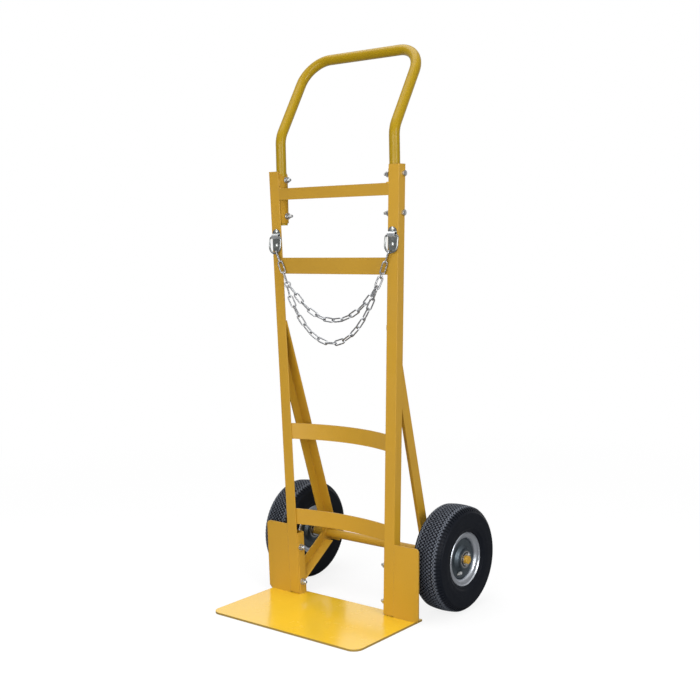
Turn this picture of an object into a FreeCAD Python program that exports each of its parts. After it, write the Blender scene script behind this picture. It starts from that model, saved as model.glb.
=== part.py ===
import FreeCAD, Part
import math
import os

Vector = FreeCAD.Vector
ACROSS = Vector(1, 0, 0)
BACK = Vector(0, 1, 0)
UP = Vector(0, 0, 1)
CENTRE = Vector(0, 0, 0)

# All sizes are millimetres. X runs across the trolley, +Y to the back, +Z up.
# The pieces are drawn with the front face of the uprights at y = 0 and the
# ground at z = 0. On export they move so that the origin is the middle of the
# trolley's footprint on the ground.

# Fits
seat_gap = 0.05
bolt_hole_gap = 0.2
loose_gap = 0.3

# Uprights, rolled angle that leans outwards towards the top
foot_half_width = 164.7
top_half_width = 202.2
upright_top = 1079.6
upright_lift = 7.5
upright_front_width = 30.0
upright_side_width = 25.0
frame_thickness = 3.0
edge_round = 0.6

# Flat bars between the uprights
upper_bar_low = 1009.0
upper_bar_height = 28.3
second_bar_low = 825.8
second_bar_height = 39.9

# Bowed rails that cradle the bottle
rail_height = 40.0
rail_thickness = 4.0
upper_rail_low = 407.0
upper_rail_bow = 35.0
lower_rail_low = 187.0
lower_rail_bow = 24.0
rail_half_chord = 160.0
rail_tab_gap = 6.0

# Handle, one bent tube
tube_radius = 12.7
tube_wall = 2.0
handle_half_width = 176.5
handle_foot = 946.0
handle_bend_height = 1162.8
handle_bend_radius = 62.0
handle_lean = 31.2
handle_setback = 118.1
handle_corner_radius = 68.0

# Round sleeve welded to each upright, which the handle leg stands in
socket_thickness = 2.5
socket_foot = 951.0
socket_top = 1079.0
socket_cut_place = 175.0
socket_cut_angle = 47.5
tube_gap = 0.1

# M8 hexagon bolts
bolt_radius = 4.0
bolt_head_height = 5.3
nut_height = 6.5
hex_across_flats = 13.0
washer_radius = 8.0
washer_thickness = 1.6
spacer_radius = 7.0
handle_bolt_heights = (968.5, 1058.0)
handle_bolt_length = 55.0
toe_bolt_heights = (34.0, 124.0)
toe_bolt_back = 12.3
toe_bolt_length = 45.0

# Toe plate, the upstands beside the uprights and the posts that carry them
toe_half_width = 228.0
toe_reach = 222.3
toe_back = 30.4
toe_thickness = 5.0
toe_corner_radius = 25.0
upstand_thickness = 4.0
upstand_top = 184.0
upstand_foot_half = 238.1
upstand_top_half = 241.4
upstand_corner_radius = 10.0
upstand_foot_cut = 7.0
post_width = 25.0
post_wall = 2.0
post_top = 163.0
post_round = 2.0

# Rear braces, from high on the uprights down to the axle
brace_depth = 28.0
brace_width = 30.0
brace_ahead = 16.5
brace_slope = 0.2761
brace_foot = 108.0

# Lower stays, from the feet of the uprights back to the axle
stay_depth = 25.0
stay_width = 30.0
stay_foot_back = 25.0
stay_foot_height = 52.0
stay_above_axle = 3.0

# Wheels
tyre_radius = 130.0
tyre_half_width = 41.0
tread_half_width = 28.0
tread_drop = 2.2
tread_thickness = 9.0
sidewall_thickness = 5.0
tyre_widest_radius = 96.0
tyre_shoulder_inset = 4.2
tyre_shoulder_rise = 8.5
tyre_side_inset = 1.3
tyre_side_drop = 15.0
tyre_inside_drop = 6.5
groove_depth = 2.5
groove_width = 3.0
groove_places = (-19.0, -7.0, 7.0, 19.0)
bead_width = 11.0
bead_height = 7.0
inner_tube_wall = 2.0
inner_tube_side_gap = 1.2
inner_tube_foot_round = 2.0
inner_tube_side_round = 8.0
inner_tube_crown_half = 15.0
inner_tube_crown_round = 12.0
wheel_middle = 240.4
rim_sheet = 2.0
rim_seat_radius = 51.0
rim_well_radius = 46.0
rim_flange_place = 29.5
rim_lip_radius = 66.0
rim_lip_reach = 3.5
rim_lip_rise = 3.0
rim_well_half = 13.0
rim_corner_radius = 8.0
rim_fold_radius = 2.5
rim_lip_fold = 2.0
rim_ramp = 4.0
disc_place = 24.0
disc_edge_length = 4.5
disc_flat_radius = 33.0
disc_cone_reach = 7.0
disc_bend_radius = 3.0
disc_collar_length = 3.0
disc_valve_hole_radius = 4.6
hub_radius = 25.0
hub_length = 70.0
hub_bore_radius = 17.0

# Deep groove ball bearings, 20 x 42 x 12
bearing_outer_radius = 21.0
bearing_width = 12.0
outer_race_bore = 17.3
inner_race_radius = 13.7
ball_radius = 3.17
ball_gap = 0.15
ball_count = 9
seal_thickness = 0.8
seal_recess = 0.5
seal_gap = 0.1

# Axle
axle_back = 150.0
axle_radius = 11.0
journal_radius = 10.0
axle_beyond_pin = 4.7
axle_chamfer = 1.0
axle_washer_thickness = 2.0
axle_washer_radius = 15.0
split_pin_radius = 1.5
split_pin_length = 28.0
split_pin_eye_radius = 3.2
split_pin_eye_wire = 1.05
split_pin_stand_off = 1.0
split_pin_turn = 35.0

# Tyre valve
valve_place = 13.5
valve_radius = 3.0
valve_from_axle = 44.5
valve_bend_radius = 5.0
valve_lean = 30.0
valve_reach = 30.0
valve_cap_radius = 4.2
valve_cap_length = 6.2
valve_turn = 208.0
valve_skirt_radius = 4.5
valve_skirt_length = 4.0
valve_root_gap = 0.6
valve_cap_on_stem = 3.2
valve_cap_round = 1.2

# Chain anchors on the uprights
anchor_half_place = 181.2
anchor_width = 25.0
anchor_low = 879.0
anchor_high = 937.0
anchor_thickness = 2.0
anchor_screw_heights = (896.0, 931.4)
anchor_screw_radius = 3.0
anchor_dome_radius = 5.2
anchor_dome_height = 3.0
anchor_nut_flats = 10.0
anchor_nut_height = 5.0
anchor_screw_tail = 2.0
saddle_width = 21.0
saddle_sheet = 1.5
saddle_radius = 7.0
saddle_height = 918.9
ring_axis_height = 917.1
ring_tilt = 6.5
ring_wire_radius = 2.3
ring_width = 40.0
ring_height = 45.1
ring_corner_radius = 6.0

# Chain, long welded links of round wire
link_wire_radius = 1.75
link_width = 14.5
link_inside_length = 28.0
link_slack = 0.4
joint_ring_radius = 7.0
joint_gap = 0.2
left_lead_count = 3
left_lead_turn = 66.9
right_lead_count = 2
right_lead_turn = 68.3
lower_strand_count = 16
upper_strand_count = 13
quarter_turn = 90.0
first_link_roll = 60.0
link_roll = 45.0
strand_spread_angle = 44.0
lower_strand_swing_angle = -8.0
upper_strand_swing_angle = 10.0

# Places that follow from the sizes above
axle_height = tyre_radius
splay = math.degrees(math.atan((top_half_width - foot_half_width) / upright_top))
tube_back = frame_thickness + socket_thickness + tube_gap + tube_radius
ring_axis_back = -(anchor_thickness + ring_wire_radius + loose_gap)
link_pitch = link_inside_length - link_slack
stay_slope = (axle_height + stay_above_axle - stay_foot_height) / (axle_back - stay_foot_back)
pin_place = wheel_middle + hub_length / 2 + axle_washer_thickness + split_pin_radius + 2 * bolt_hole_gap
axle_half_length = pin_place + axle_beyond_pin
middle_back = (axle_back + tyre_radius - toe_reach) / 2


def outer_face(height):
    """Distance of an upright's outer face from the middle, at one height."""
    share = height / upright_top
    return foot_half_width + (top_half_width - foot_half_width) * share


def inner_edge(height):
    """Distance of the inner edge of an upright's front face from the middle."""
    return outer_face(height) - upright_front_width / math.cos(math.radians(splay))


def brace_front(height):
    """How far back the front edge of a rear brace lies, at one height."""
    return axle_back - brace_ahead - brace_slope * (height - axle_height)


def save(name, pieces):
    """Write one sub-part, which may be a group of like solids."""
    shape = Part.makeCompound(pieces) if isinstance(pieces, list) else pieces.copy()
    shape.translate(Vector(0, -middle_back, 0))
    shape.exportStep(os.path.join("parts", name + ".step"))


def mirrored(shape):
    return shape.mirror(CENTRE, ACROSS)


def both_sides(shape):
    return [shape, mirrored(shape)]


def save_pair(name, shape):
    save("right_" + name, shape)
    save("left_" + name, mirrored(shape))


def rounded_edges(corners, closed=True):
    """Edges through corners (point, radius); each corner with a radius is an arc."""
    count = len(corners)
    starts = []
    ends = []
    arcs = []
    for i, (point, radius) in enumerate(corners):
        at_end = not closed and i in (0, count - 1)
        if radius == 0 or at_end:
            starts.append(point)
            ends.append(point)
            arcs.append(None)
            continue
        before = (corners[i - 1][0] - point).normalize()
        after = (corners[(i + 1) % count][0] - point).normalize()
        half = before.getAngle(after) / 2
        reach = radius / math.tan(half)
        inward = (before + after).normalize()
        middle = point + inward * (radius / math.sin(half) - radius)
        starts.append(point + before * reach)
        ends.append(point + after * reach)
        arcs.append(middle)
    edges = []
    for i in range(count):
        if arcs[i]:
            edges.append(Part.Arc(starts[i], arcs[i], ends[i]).toShape())
        if not closed and i == count - 1:
            break
        after = starts[(i + 1) % count]
        if (after - ends[i]).Length > 1e-6:
            edges.append(Part.LineSegment(ends[i], after).toShape())
    return edges


def face_of(corners):
    return Part.Face(Part.Wire(rounded_edges(corners)))


def flat_face(points, place):
    """Face from (a, b, radius) corners; place turns a and b into a point."""
    return face_of([(place(a, b), radius) for a, b, radius in points])


def on_xy(height):
    return lambda a, b: Vector(a, b, height)


def on_xz(back):
    return lambda a, b: Vector(a, back, b)


def on_yz(across):
    return lambda a, b: Vector(across, a, b)


def rod(start, end, radius):
    return Part.makeCylinder(radius, (end - start).Length, start, end - start)


def ring(start, end, outer, inner):
    return rod(start, end, outer).cut(rod(start, end, inner))


def hexagon(start, end, across_flats):
    """Six-sided prism with two of its corners up and down or fore and aft."""
    axis = (end - start).normalize()
    corner = UP if abs(axis.dot(UP)) < 0.5 else BACK
    across = axis.cross(corner)
    reach = across_flats / math.sqrt(3)
    points = []
    for i in range(6):
        angle = i * math.pi / 3
        aside = corner * math.cos(angle) + across * math.sin(angle)
        points.append(start + aside * reach)
    face = Part.Face(Part.makePolygon(points + [points[0]]))
    return face.extrude(end - start)


def swept(edges, radius):
    """Round rod along a run of tangent edges, open or closed."""
    path = Part.Wire(edges)
    start = edges[0].valueAt(edges[0].FirstParameter)
    heading = edges[0].tangentAt(edges[0].FirstParameter)
    section = Part.Wire(Part.Edge(Part.Circle(start, heading, radius)))
    return path.makePipeShell([section], True, False)


def turned(shape_face):
    """Body of revolution about the X axis."""
    return shape_face.revolve(CENTRE, ACROSS, 360)


def wheel_face(corners):
    """Face in the plane of the axle from (across, radius, corner radius)."""
    return flat_face(corners, on_xz(0))


def on_axle(shape, across):
    moved = shape.copy()
    moved.translate(Vector(across, axle_back, axle_height))
    return moved


# Frame of the right upright: x from its outer face, z along it

def beside_upright(shape):
    placed = shape.copy()
    placed.rotate(CENTRE, BACK, splay)
    placed.translate(Vector(foot_half_width, 0, 0))
    return placed


def below_level(height):
    """Block of the right half that fills all below one level."""
    size = 2 * axle_half_length
    return Part.makeBox(size, size, size, Vector(0, -size / 2, height - size))


def above_level(height):
    """Block of the right half that fills all above one level."""
    size = 2 * axle_half_length
    return Part.makeBox(size, size, size, Vector(0, -size / 2, height))


def ahead_of(back, across):
    """Block that fills all in front of one plane, inwards from one place across."""
    size = 2 * upright_top
    return Part.makeBox(size, size, size, Vector(across - size, back - size, -size / 2))


def angle_bar(width, depth, low, high):
    """Angle along Z: a face of the width towards -X at y = 0, a side of the depth."""
    wall = frame_thickness
    corners = [
        (0, 0, edge_round),
        (-width, 0, edge_round),
        (-width, wall, edge_round),
        (-wall, wall, 0),
        (-wall, depth, edge_round),
        (0, depth, edge_round),
    ]
    return flat_face(corners, on_xy(low)).extrude(Vector(0, 0, high - low))


def toe_bolt_line(height):
    return Vector(0, toe_bolt_back, height)


def upright():
    low = -upright_lift
    high = upright_top + upright_lift
    bar = angle_bar(upright_front_width, upright_side_width, low, high)
    for height in toe_bolt_heights:
        start = toe_bolt_line(height)
        reach = ACROSS * (2 * frame_thickness)
        bar = bar.cut(rod(start - reach, start + reach, bolt_radius + bolt_hole_gap))
    bar = beside_upright(bar)
    bar = bar.cut(below_level(upright_lift)).cut(above_level(upright_top))
    for height in handle_bolt_heights:
        start = Vector(outer_face(height), tube_back, height)
        reach = ACROSS * (2 * frame_thickness)
        bar = bar.cut(rod(start - reach, start + reach, bolt_radius + bolt_hole_gap))
    for height in anchor_screw_heights:
        start = Vector(anchor_half_place, -frame_thickness, height)
        hole = rod(start, start + BACK * (3 * frame_thickness), anchor_screw_radius + bolt_hole_gap)
        bar = bar.cut(hole)
    return bar


def flat_bar(low, height):
    """Bar between the inner edges of the two front faces, welded edge to edge."""
    lower = inner_edge(low)
    upper = inner_edge(low + height)
    corners = [
        (-lower, low, 0),
        (lower, low, 0),
        (upper, low + height, 0),
        (-upper, low + height, 0),
    ]
    return flat_face(corners, on_xz(0)).extrude(BACK * frame_thickness)


def cradle_rail(low, bow):
    """Flat bar bowed to the back, its straight ends lapped behind the uprights."""
    front_radius = (rail_half_chord ** 2 + bow ** 2) / (2 * bow)
    centre = bow - front_radius
    tab_end = outer_face(low) - frame_thickness - rail_tab_gap
    front = frame_thickness
    back = frame_thickness + rail_thickness
    back_radius = front_radius + rail_thickness
    front_meet = math.sqrt(front_radius ** 2 - (front - centre) ** 2)
    back_meet = math.sqrt(back_radius ** 2 - (back - centre) ** 2)

    def at(across, deep):
        return Vector(across, deep, low)

    front_arc = Part.Arc(at(-front_meet, front), at(0, bow), at(front_meet, front)).toShape()
    back_bow = at(0, bow + rail_thickness)
    back_arc = Part.Arc(at(back_meet, back), back_bow, at(-back_meet, back)).toShape()
    edges = [
        Part.LineSegment(at(-tab_end, front), at(-front_meet, front)).toShape(),
        front_arc,
        Part.LineSegment(at(front_meet, front), at(tab_end, front)).toShape(),
        Part.LineSegment(at(tab_end, front), at(tab_end, back)).toShape(),
        Part.LineSegment(at(tab_end, back), at(back_meet, back)).toShape(),
        back_arc,
        Part.LineSegment(at(-back_meet, back), at(-tab_end, back)).toShape(),
        Part.LineSegment(at(-tab_end, back), at(-tab_end, front)).toShape(),
    ]
    return Part.Face(Part.Wire(edges)).extrude(UP * rail_height)


def handle_path():
    lean = math.radians(handle_lean)
    rise = handle_setback / math.tan(lean)
    top_back = tube_back + handle_setback
    top = handle_bend_height + rise
    half = handle_half_width
    points = [
        (Vector(half, tube_back, handle_foot), 0),
        (Vector(half, tube_back, handle_bend_height), handle_bend_radius),
        (Vector(half, top_back, top), handle_corner_radius),
        (Vector(-half, top_back, top), handle_corner_radius),
        (Vector(-half, tube_back, handle_bend_height), handle_bend_radius),
        (Vector(-half, tube_back, handle_foot), 0),
    ]
    return rounded_edges(points, closed=False)


def handle_tube():
    path = handle_path()
    tube = swept(path, tube_radius).cut(swept(path, tube_radius - tube_wall))
    for height in handle_bolt_heights:
        for side in (-1, 1):
            start = Vector(side * (handle_half_width - 2 * tube_radius), tube_back, height)
            end = Vector(side * (handle_half_width + 2 * tube_radius), tube_back, height)
            tube = tube.cut(rod(start, end, bolt_radius + bolt_hole_gap))
    return tube


def socket_inner_face():
    return handle_half_width - tube_radius - tube_gap - socket_thickness


def handle_socket():
    """Sleeve on the back of the upright, its top cut down on the inner side."""
    foot = Vector(handle_half_width, tube_back, socket_foot)
    top = Vector(handle_half_width, tube_back, socket_top)
    inside = tube_radius + tube_gap
    outside = inside + socket_thickness
    shape = ring(foot, top, outside, inside)
    low = handle_half_width - 2 * outside
    fall = (socket_cut_place - low) * math.tan(math.radians(socket_cut_angle))
    above = socket_top + outside
    slope = [
        (low, socket_top - fall, 0),
        (socket_cut_place, socket_top, 0),
        (socket_cut_place, above, 0),
        (low, above, 0),
    ]
    shape = shape.cut(flat_face(slope, on_xz(0)).extrude(BACK * (2 * tube_back)))
    for height in handle_bolt_heights:
        start = Vector(low, tube_back, height)
        shape = shape.cut(rod(start, start + ACROSS * (4 * outside), bolt_radius + bolt_hole_gap))
    return shape


def handle_bolt(height):
    """Bolt from the outer face of the upright through the sleeve and the tube."""
    seat = Vector(outer_face(height + hex_across_flats / math.sqrt(3)), tube_back, height)
    head = hexagon(seat, seat + ACROSS * bolt_head_height, hex_across_flats)
    shank = rod(seat - ACROSS * handle_bolt_length, seat, bolt_radius)
    return head.fuse(shank)


def handle_washer(height):
    start = Vector(socket_inner_face() - washer_thickness, tube_back, height)
    return ring(start, start + ACROSS * washer_thickness, washer_radius, bolt_radius + bolt_hole_gap)


def bolt_nut(start, end):
    return hexagon(start, end, hex_across_flats).cut(rod(start, end, bolt_radius + seat_gap))


def handle_nut(height):
    end = Vector(socket_inner_face() - washer_thickness, tube_back, height)
    return bolt_nut(end - ACROSS * nut_height, end)


def handle_spacer(height):
    """Short spacer between the sleeve and the side of the upright."""
    outside = tube_radius + tube_gap + socket_thickness
    start = Vector(handle_half_width + outside + seat_gap, tube_back, height)
    inside = outer_face(height - spacer_radius) - frame_thickness - seat_gap
    end = Vector(inside, tube_back, height)
    return ring(start, end, spacer_radius, bolt_radius + bolt_hole_gap)


def toe_plate():
    corners = [
        (-toe_half_width, toe_back, 0),
        (toe_half_width, toe_back, 0),
        (toe_half_width, -toe_reach, toe_corner_radius),
        (-toe_half_width, -toe_reach, toe_corner_radius),
    ]
    return flat_face(corners, on_xy(0)).extrude(UP * toe_thickness)


def side_plate():
    """Upright plate beside the foot, welded to the upright and the toe plate."""
    low = toe_thickness
    foot = low + upstand_foot_cut
    corners = [
        (outer_face(low), low, 0),
        (upstand_foot_half - upstand_foot_cut, low, 0),
        (upstand_foot_half, foot, 0),
        (upstand_top_half, upstand_top, upstand_corner_radius),
        (outer_face(upstand_top), upstand_top, 0),
    ]
    return flat_face(corners, on_xz(0)).extrude(BACK * upstand_thickness)


def toe_post():
    """Square tube welded up from the toe plate, nested behind the upright."""
    outer = -2 * frame_thickness
    inner = outer - post_width
    front = frame_thickness
    back = front + post_width
    corners = [
        (outer, front, post_round),
        (inner, front, post_round),
        (inner, back, post_round),
        (outer, back, post_round),
    ]
    bore = [
        (outer - post_wall, front + post_wall, 0),
        (inner + post_wall, front + post_wall, 0),
        (inner + post_wall, back - post_wall, 0),
        (outer - post_wall, back - post_wall, 0),
    ]
    length = UP * (post_top + post_width)
    post = flat_face(corners, on_xy(-post_width / 2)).extrude(length)
    post = post.cut(flat_face(bore, on_xy(-post_width / 2)).extrude(length))
    for height in toe_bolt_heights:
        start = toe_bolt_line(height)
        reach = ACROSS * (3 * post_width)
        post = post.cut(rod(start - reach, start, bolt_radius + bolt_hole_gap))
    post = beside_upright(post)
    return post.cut(below_level(toe_thickness)).cut(above_level(post_top))


def toe_bolt(height):
    seat = toe_bolt_line(height)
    head = hexagon(seat, seat + ACROSS * bolt_head_height, hex_across_flats)
    shank = rod(seat - ACROSS * toe_bolt_length, seat, bolt_radius)
    return beside_upright(head.fuse(shank))


def toe_clamp_end():
    return -(2 * frame_thickness + post_width)


def toe_washer(height):
    start = toe_bolt_line(height) + ACROSS * (toe_clamp_end() - washer_thickness)
    end = start + ACROSS * washer_thickness
    return beside_upright(ring(start, end, washer_radius, bolt_radius + bolt_hole_gap))


def toe_nut(height):
    end = toe_bolt_line(height) + ACROSS * (toe_clamp_end() - washer_thickness)
    return beside_upright(bolt_nut(end - ACROSS * nut_height, end))


def toe_spacer(height):
    """Thick washer that fills the gap between the upright and the post."""
    start = toe_bolt_line(height) - ACROSS * (2 * frame_thickness)
    end = start + ACROSS * frame_thickness
    return beside_upright(ring(start, end, washer_radius, bolt_radius + bolt_hole_gap))


def axle_hole():
    start = Vector(0, axle_back, axle_height)
    return rod(start, start + ACROSS * axle_half_length, axle_radius + seat_gap)


def rear_brace():
    """Angle inside the upright's side, its other flange at the back."""
    wall = frame_thickness
    side = -2 * wall
    corners = [
        (side, 0, edge_round),
        (side + wall, 0, edge_round),
        (side + wall, brace_depth, edge_round),
        (-wall - brace_width, brace_depth, edge_round),
        (-wall - brace_width, brace_depth - wall, edge_round),
        (side, brace_depth - wall, 0),
    ]
    bar = flat_face(corners, on_xy(-axle_height)).extrude(UP * upright_top)
    bar.rotate(CENTRE, ACROSS, math.degrees(math.atan(brace_slope)))
    bar.translate(Vector(0, brace_front(axle_height), axle_height))
    bar = beside_upright(bar.cut(ahead_of(wall, axle_half_length)))
    return bar.cut(below_level(brace_foot)).cut(axle_hole())


def lower_stay():
    """Angle with its level flange below, from the upright's foot to the brace."""
    wall = frame_thickness
    side = -2 * wall
    half = stay_depth / 2
    corners = [
        (side, -half, edge_round),
        (side + wall, -half, edge_round),
        (side + wall, half, edge_round),
        (-wall - stay_width, half, edge_round),
        (-wall - stay_width, half - wall, edge_round),
        (side, half - wall, 0),
    ]
    reach = axle_back
    bar = flat_face(corners, on_xy(-reach)).extrude(UP * (2 * reach))
    bar.rotate(CENTRE, ACROSS, math.degrees(math.atan(stay_slope)) - quarter_turn)
    bar.translate(Vector(0, stay_foot_back, stay_foot_height))
    bar = bar.cut(ahead_of(wall, axle_half_length)).cut(ahead_of(wall + post_width, side))
    far = 2 * reach
    beyond = [
        (brace_front(-far), -far, 0),
        (brace_front(far), far, 0),
        (2 * far, far, 0),
        (2 * far, -far, 0),
    ]
    block = flat_face(beyond, on_yz(-far)).extrude(ACROSS * (2 * far))
    bar = bar.cut(block)
    low_bolt = toe_bolt_line(toe_bolt_heights[0])
    hole = rod(low_bolt - ACROSS * (3 * wall), low_bolt, bolt_radius + bolt_hole_gap)
    return beside_upright(bar.cut(hole))


def journal_start():
    return wheel_middle - hub_length / 2 - axle_washer_thickness


def pin_direction():
    turn = math.radians(split_pin_turn)
    return Vector(0, math.sin(turn), math.cos(turn))


def axle():
    shoulder = journal_start()
    reach = axle_half_length
    corners = [
        (-reach, 0, 0),
        (-reach, journal_radius - axle_chamfer, 0),
        (-reach + axle_chamfer, journal_radius, 0),
        (-shoulder, journal_radius, 0),
        (-shoulder, axle_radius, 0),
        (shoulder, axle_radius, 0),
        (shoulder, journal_radius, 0),
        (reach - axle_chamfer, journal_radius, 0),
        (reach, journal_radius - axle_chamfer, 0),
        (reach, 0, 0),
    ]
    bar = turned(wheel_face(corners))
    for side in (-1, 1):
        middle = ACROSS * (side * pin_place)
        reach_up = pin_direction() * axle_radius * 2
        bar = bar.cut(rod(middle - reach_up, middle + reach_up, split_pin_radius + seat_gap))
    return on_axle(bar, 0)


def axle_washer(start):
    low = ACROSS * start
    high = ACROSS * (start + axle_washer_thickness)
    return on_axle(ring(low, high, axle_washer_radius, journal_radius + bolt_hole_gap), 0)


def split_pin():
    """Pin through the end of the axle, with its eye standing out at the top."""
    along = pin_direction()
    middle = ACROSS * pin_place
    head = middle + along * (journal_radius + split_pin_stand_off)
    tail = head - along * split_pin_length
    eye_centre = head + along * split_pin_eye_radius
    eye = Part.makeTorus(split_pin_eye_radius, split_pin_eye_wire, eye_centre, ACROSS)
    pin = rod(tail, head + along * split_pin_stand_off, split_pin_radius)
    return on_axle(pin.fuse(eye), 0)


# Wheel pieces, about their own middle

def tyre():
    wide = tyre_half_width
    tread = tread_half_width
    crown = tyre_radius - tread_drop
    inside_crown_radius = tyre_radius - tread_thickness
    shoulder_radius = (crown + tyre_widest_radius) / 2 + tyre_shoulder_rise
    side_radius = tyre_widest_radius - tyre_side_drop
    lip_radius = rim_lip_radius + 2 * seat_gap
    bead_seat = rim_seat_radius + seat_gap
    bead_face = rim_flange_place - bead_width
    shoulder = Vector(wide - tyre_shoulder_inset, 0, shoulder_radius)
    widest = Vector(wide, 0, tyre_widest_radius)
    side_bulge = Vector(wide - tyre_side_inset, 0, side_radius)
    foot = Vector(rim_flange_place + rim_lip_reach - seat_gap, 0, lip_radius)
    bead_out = Vector(rim_flange_place - seat_gap, 0, lip_radius - rim_lip_rise)
    heel = rim_corner_radius + loose_gap
    slant = heel * (1 - math.sqrt(0.5))
    bead_back = Vector(bead_out.x, 0, bead_seat + heel)
    bead_heel = Vector(bead_out.x - slant, 0, bead_seat + slant)
    bead_low = Vector(bead_out.x - heel, 0, bead_seat)
    bead_in = Vector(bead_face, 0, bead_seat)
    bead_up = Vector(bead_face, 0, rim_seat_radius + bead_height)
    inside_widest = Vector(wide - sidewall_thickness, 0, tyre_widest_radius)
    inside_crown = Vector(0, 0, inside_crown_radius)
    crown_edge = Vector(tread, 0, crown)
    inside_bulge = side_bulge - ACROSS * sidewall_thickness
    inside_shoulder = Vector(tread + tyre_side_inset, 0, inside_crown_radius - tyre_inside_drop)

    def other(point):
        return Vector(-point.x, 0, point.z)

    def arc(start, middle, end):
        return Part.Arc(start, middle, end).toShape()

    def line(start, end):
        return Part.LineSegment(start, end).toShape()

    edges = [
        arc(other(crown_edge), Vector(0, 0, tyre_radius), crown_edge),
        arc(crown_edge, shoulder, widest),
        arc(widest, side_bulge, foot),
        line(foot, bead_out),
        line(bead_out, bead_back),
        arc(bead_back, bead_heel, bead_low),
        line(bead_low, bead_in),
        line(bead_in, bead_up),
        arc(bead_up, inside_bulge, inside_widest),
        arc(inside_widest, inside_shoulder, inside_crown),
        arc(inside_crown, other(inside_shoulder), other(inside_widest)),
        arc(other(inside_widest), other(inside_bulge), other(bead_up)),
        line(other(bead_up), other(bead_in)),
        line(other(bead_in), other(bead_low)),
        arc(other(bead_low), other(bead_heel), other(bead_back)),
        line(other(bead_back), other(bead_out)),
        line(other(bead_out), other(foot)),
        arc(other(foot), other(side_bulge), other(widest)),
        arc(other(widest), other(shoulder), other(crown_edge)),
    ]
    body = turned(Part.Face(Part.Wire(edges)))
    for place in groove_places:
        half = groove_width / 2
        corners = [
            (place - half, tyre_radius - groove_depth, 0),
            (place + half, tyre_radius - groove_depth, 0),
            (place + half, tyre_radius + groove_depth, 0),
            (place - half, tyre_radius + groove_depth, 0),
        ]
        body = body.cut(turned(wheel_face(corners)))
    return body


def inner_tube():
    """Rubber tube that fills the tyre, with the air space inside it."""
    low = rim_seat_radius + valve_root_gap + loose_gap
    side = tyre_half_width - sidewall_thickness - inner_tube_side_gap
    neck = rim_flange_place - bead_width - loose_gap
    neck_top = low + bead_height
    high = tyre_radius - tread_thickness - 2 * loose_gap
    low_side = tyre_widest_radius - inner_tube_side_round
    high_side = tyre_widest_radius + inner_tube_side_round
    foot_round = inner_tube_foot_round
    side_round = inner_tube_side_round
    crown_round = inner_tube_crown_round

    def outline(inset):
        crown = inner_tube_crown_half - inset / 2
        return [
            (-neck + inset, low + inset, foot_round),
            (neck - inset, low + inset, foot_round),
            (neck - inset, neck_top, 0),
            (side - inset, low_side, side_round),
            (side - inset, high_side, side_round),
            (crown, high - inset, crown_round),
            (-crown, high - inset, crown_round),
            (-side + inset, high_side, side_round),
            (-side + inset, low_side, side_round),
            (-neck + inset, neck_top, 0),
        ]

    skin = turned(wheel_face(outline(0)))
    air = turned(wheel_face(outline(inner_tube_wall)))
    return skin.cut(air)


def rim():
    """Drop-centre rim pressed from sheet, with a curled lip at each edge."""
    sheet = rim_sheet
    flange = rim_flange_place
    lip = flange + rim_lip_reach
    seat = rim_seat_radius
    well = rim_well_radius
    half_well = rim_well_half
    ramp_end = half_well + rim_ramp
    lip_foot = rim_lip_radius - rim_lip_rise
    lip_run = math.hypot(rim_lip_reach, rim_lip_rise)
    aside = sheet * rim_lip_rise / lip_run
    inwards = sheet * rim_lip_reach / lip_run
    fold = sheet * math.tan(math.atan2(seat - well, rim_ramp) / 2)
    half = [
        (half_well, well, rim_fold_radius),
        (ramp_end, seat, rim_fold_radius),
        (flange, seat, rim_corner_radius),
        (flange, lip_foot, rim_lip_fold),
        (lip, rim_lip_radius, 0),
        (lip + aside, rim_lip_radius - inwards, 0),
        (flange + sheet, lip_foot - sheet / 2, rim_lip_fold),
        (flange + sheet, seat - sheet, rim_corner_radius + sheet),
        (ramp_end + fold, seat - sheet, rim_fold_radius),
        (half_well + fold, well - sheet, rim_fold_radius),
    ]
    outer = half[:5]
    inner = half[5:]
    corners = [(-a, b, r) for a, b, r in reversed(outer)] + outer
    corners += inner + [(-a, b, r) for a, b, r in reversed(inner)]
    body = turned(wheel_face(corners))
    start = ACROSS * valve_place
    hole = rod(start, start + valve_direction() * rim_lip_radius, valve_skirt_radius + seat_gap)
    return body.cut(hole)


def wheel_disc():
    """Dished disc with a turned edge in the rim and a cone up to the hub."""
    sheet = rim_sheet
    edge = rim_seat_radius - sheet - seat_gap
    place = disc_place
    collar = hub_radius + seat_gap
    cone_top = place + disc_cone_reach
    collar_end = cone_top + disc_collar_length
    bend = disc_bend_radius
    inside_bend = bend - sheet
    slant = sheet / 2
    corners = [
        (place - disc_edge_length, edge, 0),
        (place, edge, bend),
        (place, disc_flat_radius, bend),
        (cone_top, collar + sheet, bend),
        (collar_end, collar + sheet, 0),
        (collar_end, collar, 0),
        (cone_top - slant, collar, bend),
        (place - sheet, disc_flat_radius - slant, bend),
        (place - sheet, edge - sheet, inside_bend),
        (place - disc_edge_length, edge - sheet, 0),
    ]
    return turned(wheel_face(corners))


def valve_side_disc():
    """Disc on the outer side of the wheel, with the hole that the valve comes out of."""
    middle = valve_point(disc_place - rim_sheet / 2)
    depth = ACROSS * (2 * rim_sheet)
    return wheel_disc().cut(rod(middle - depth, middle + depth, disc_valve_hole_radius))


def hub():
    half = hub_length / 2
    seat = half - bearing_width
    outer = bearing_outer_radius + seat_gap
    corners = [
        (-half, outer, 0),
        (-half, hub_radius, 0),
        (half, hub_radius, 0),
        (half, outer, 0),
        (seat, outer, 0),
        (seat, hub_bore_radius, 0),
        (-seat, hub_bore_radius, 0),
        (-seat, outer, 0),
    ]
    return turned(wheel_face(corners))


def ball_circle():
    return (bearing_outer_radius + journal_radius) / 2


def bearing_place(side):
    return side * (hub_length - bearing_width) / 2


def raceway():
    return Part.makeTorus(ball_circle(), ball_radius + ball_gap, CENTRE, ACROSS)


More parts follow.
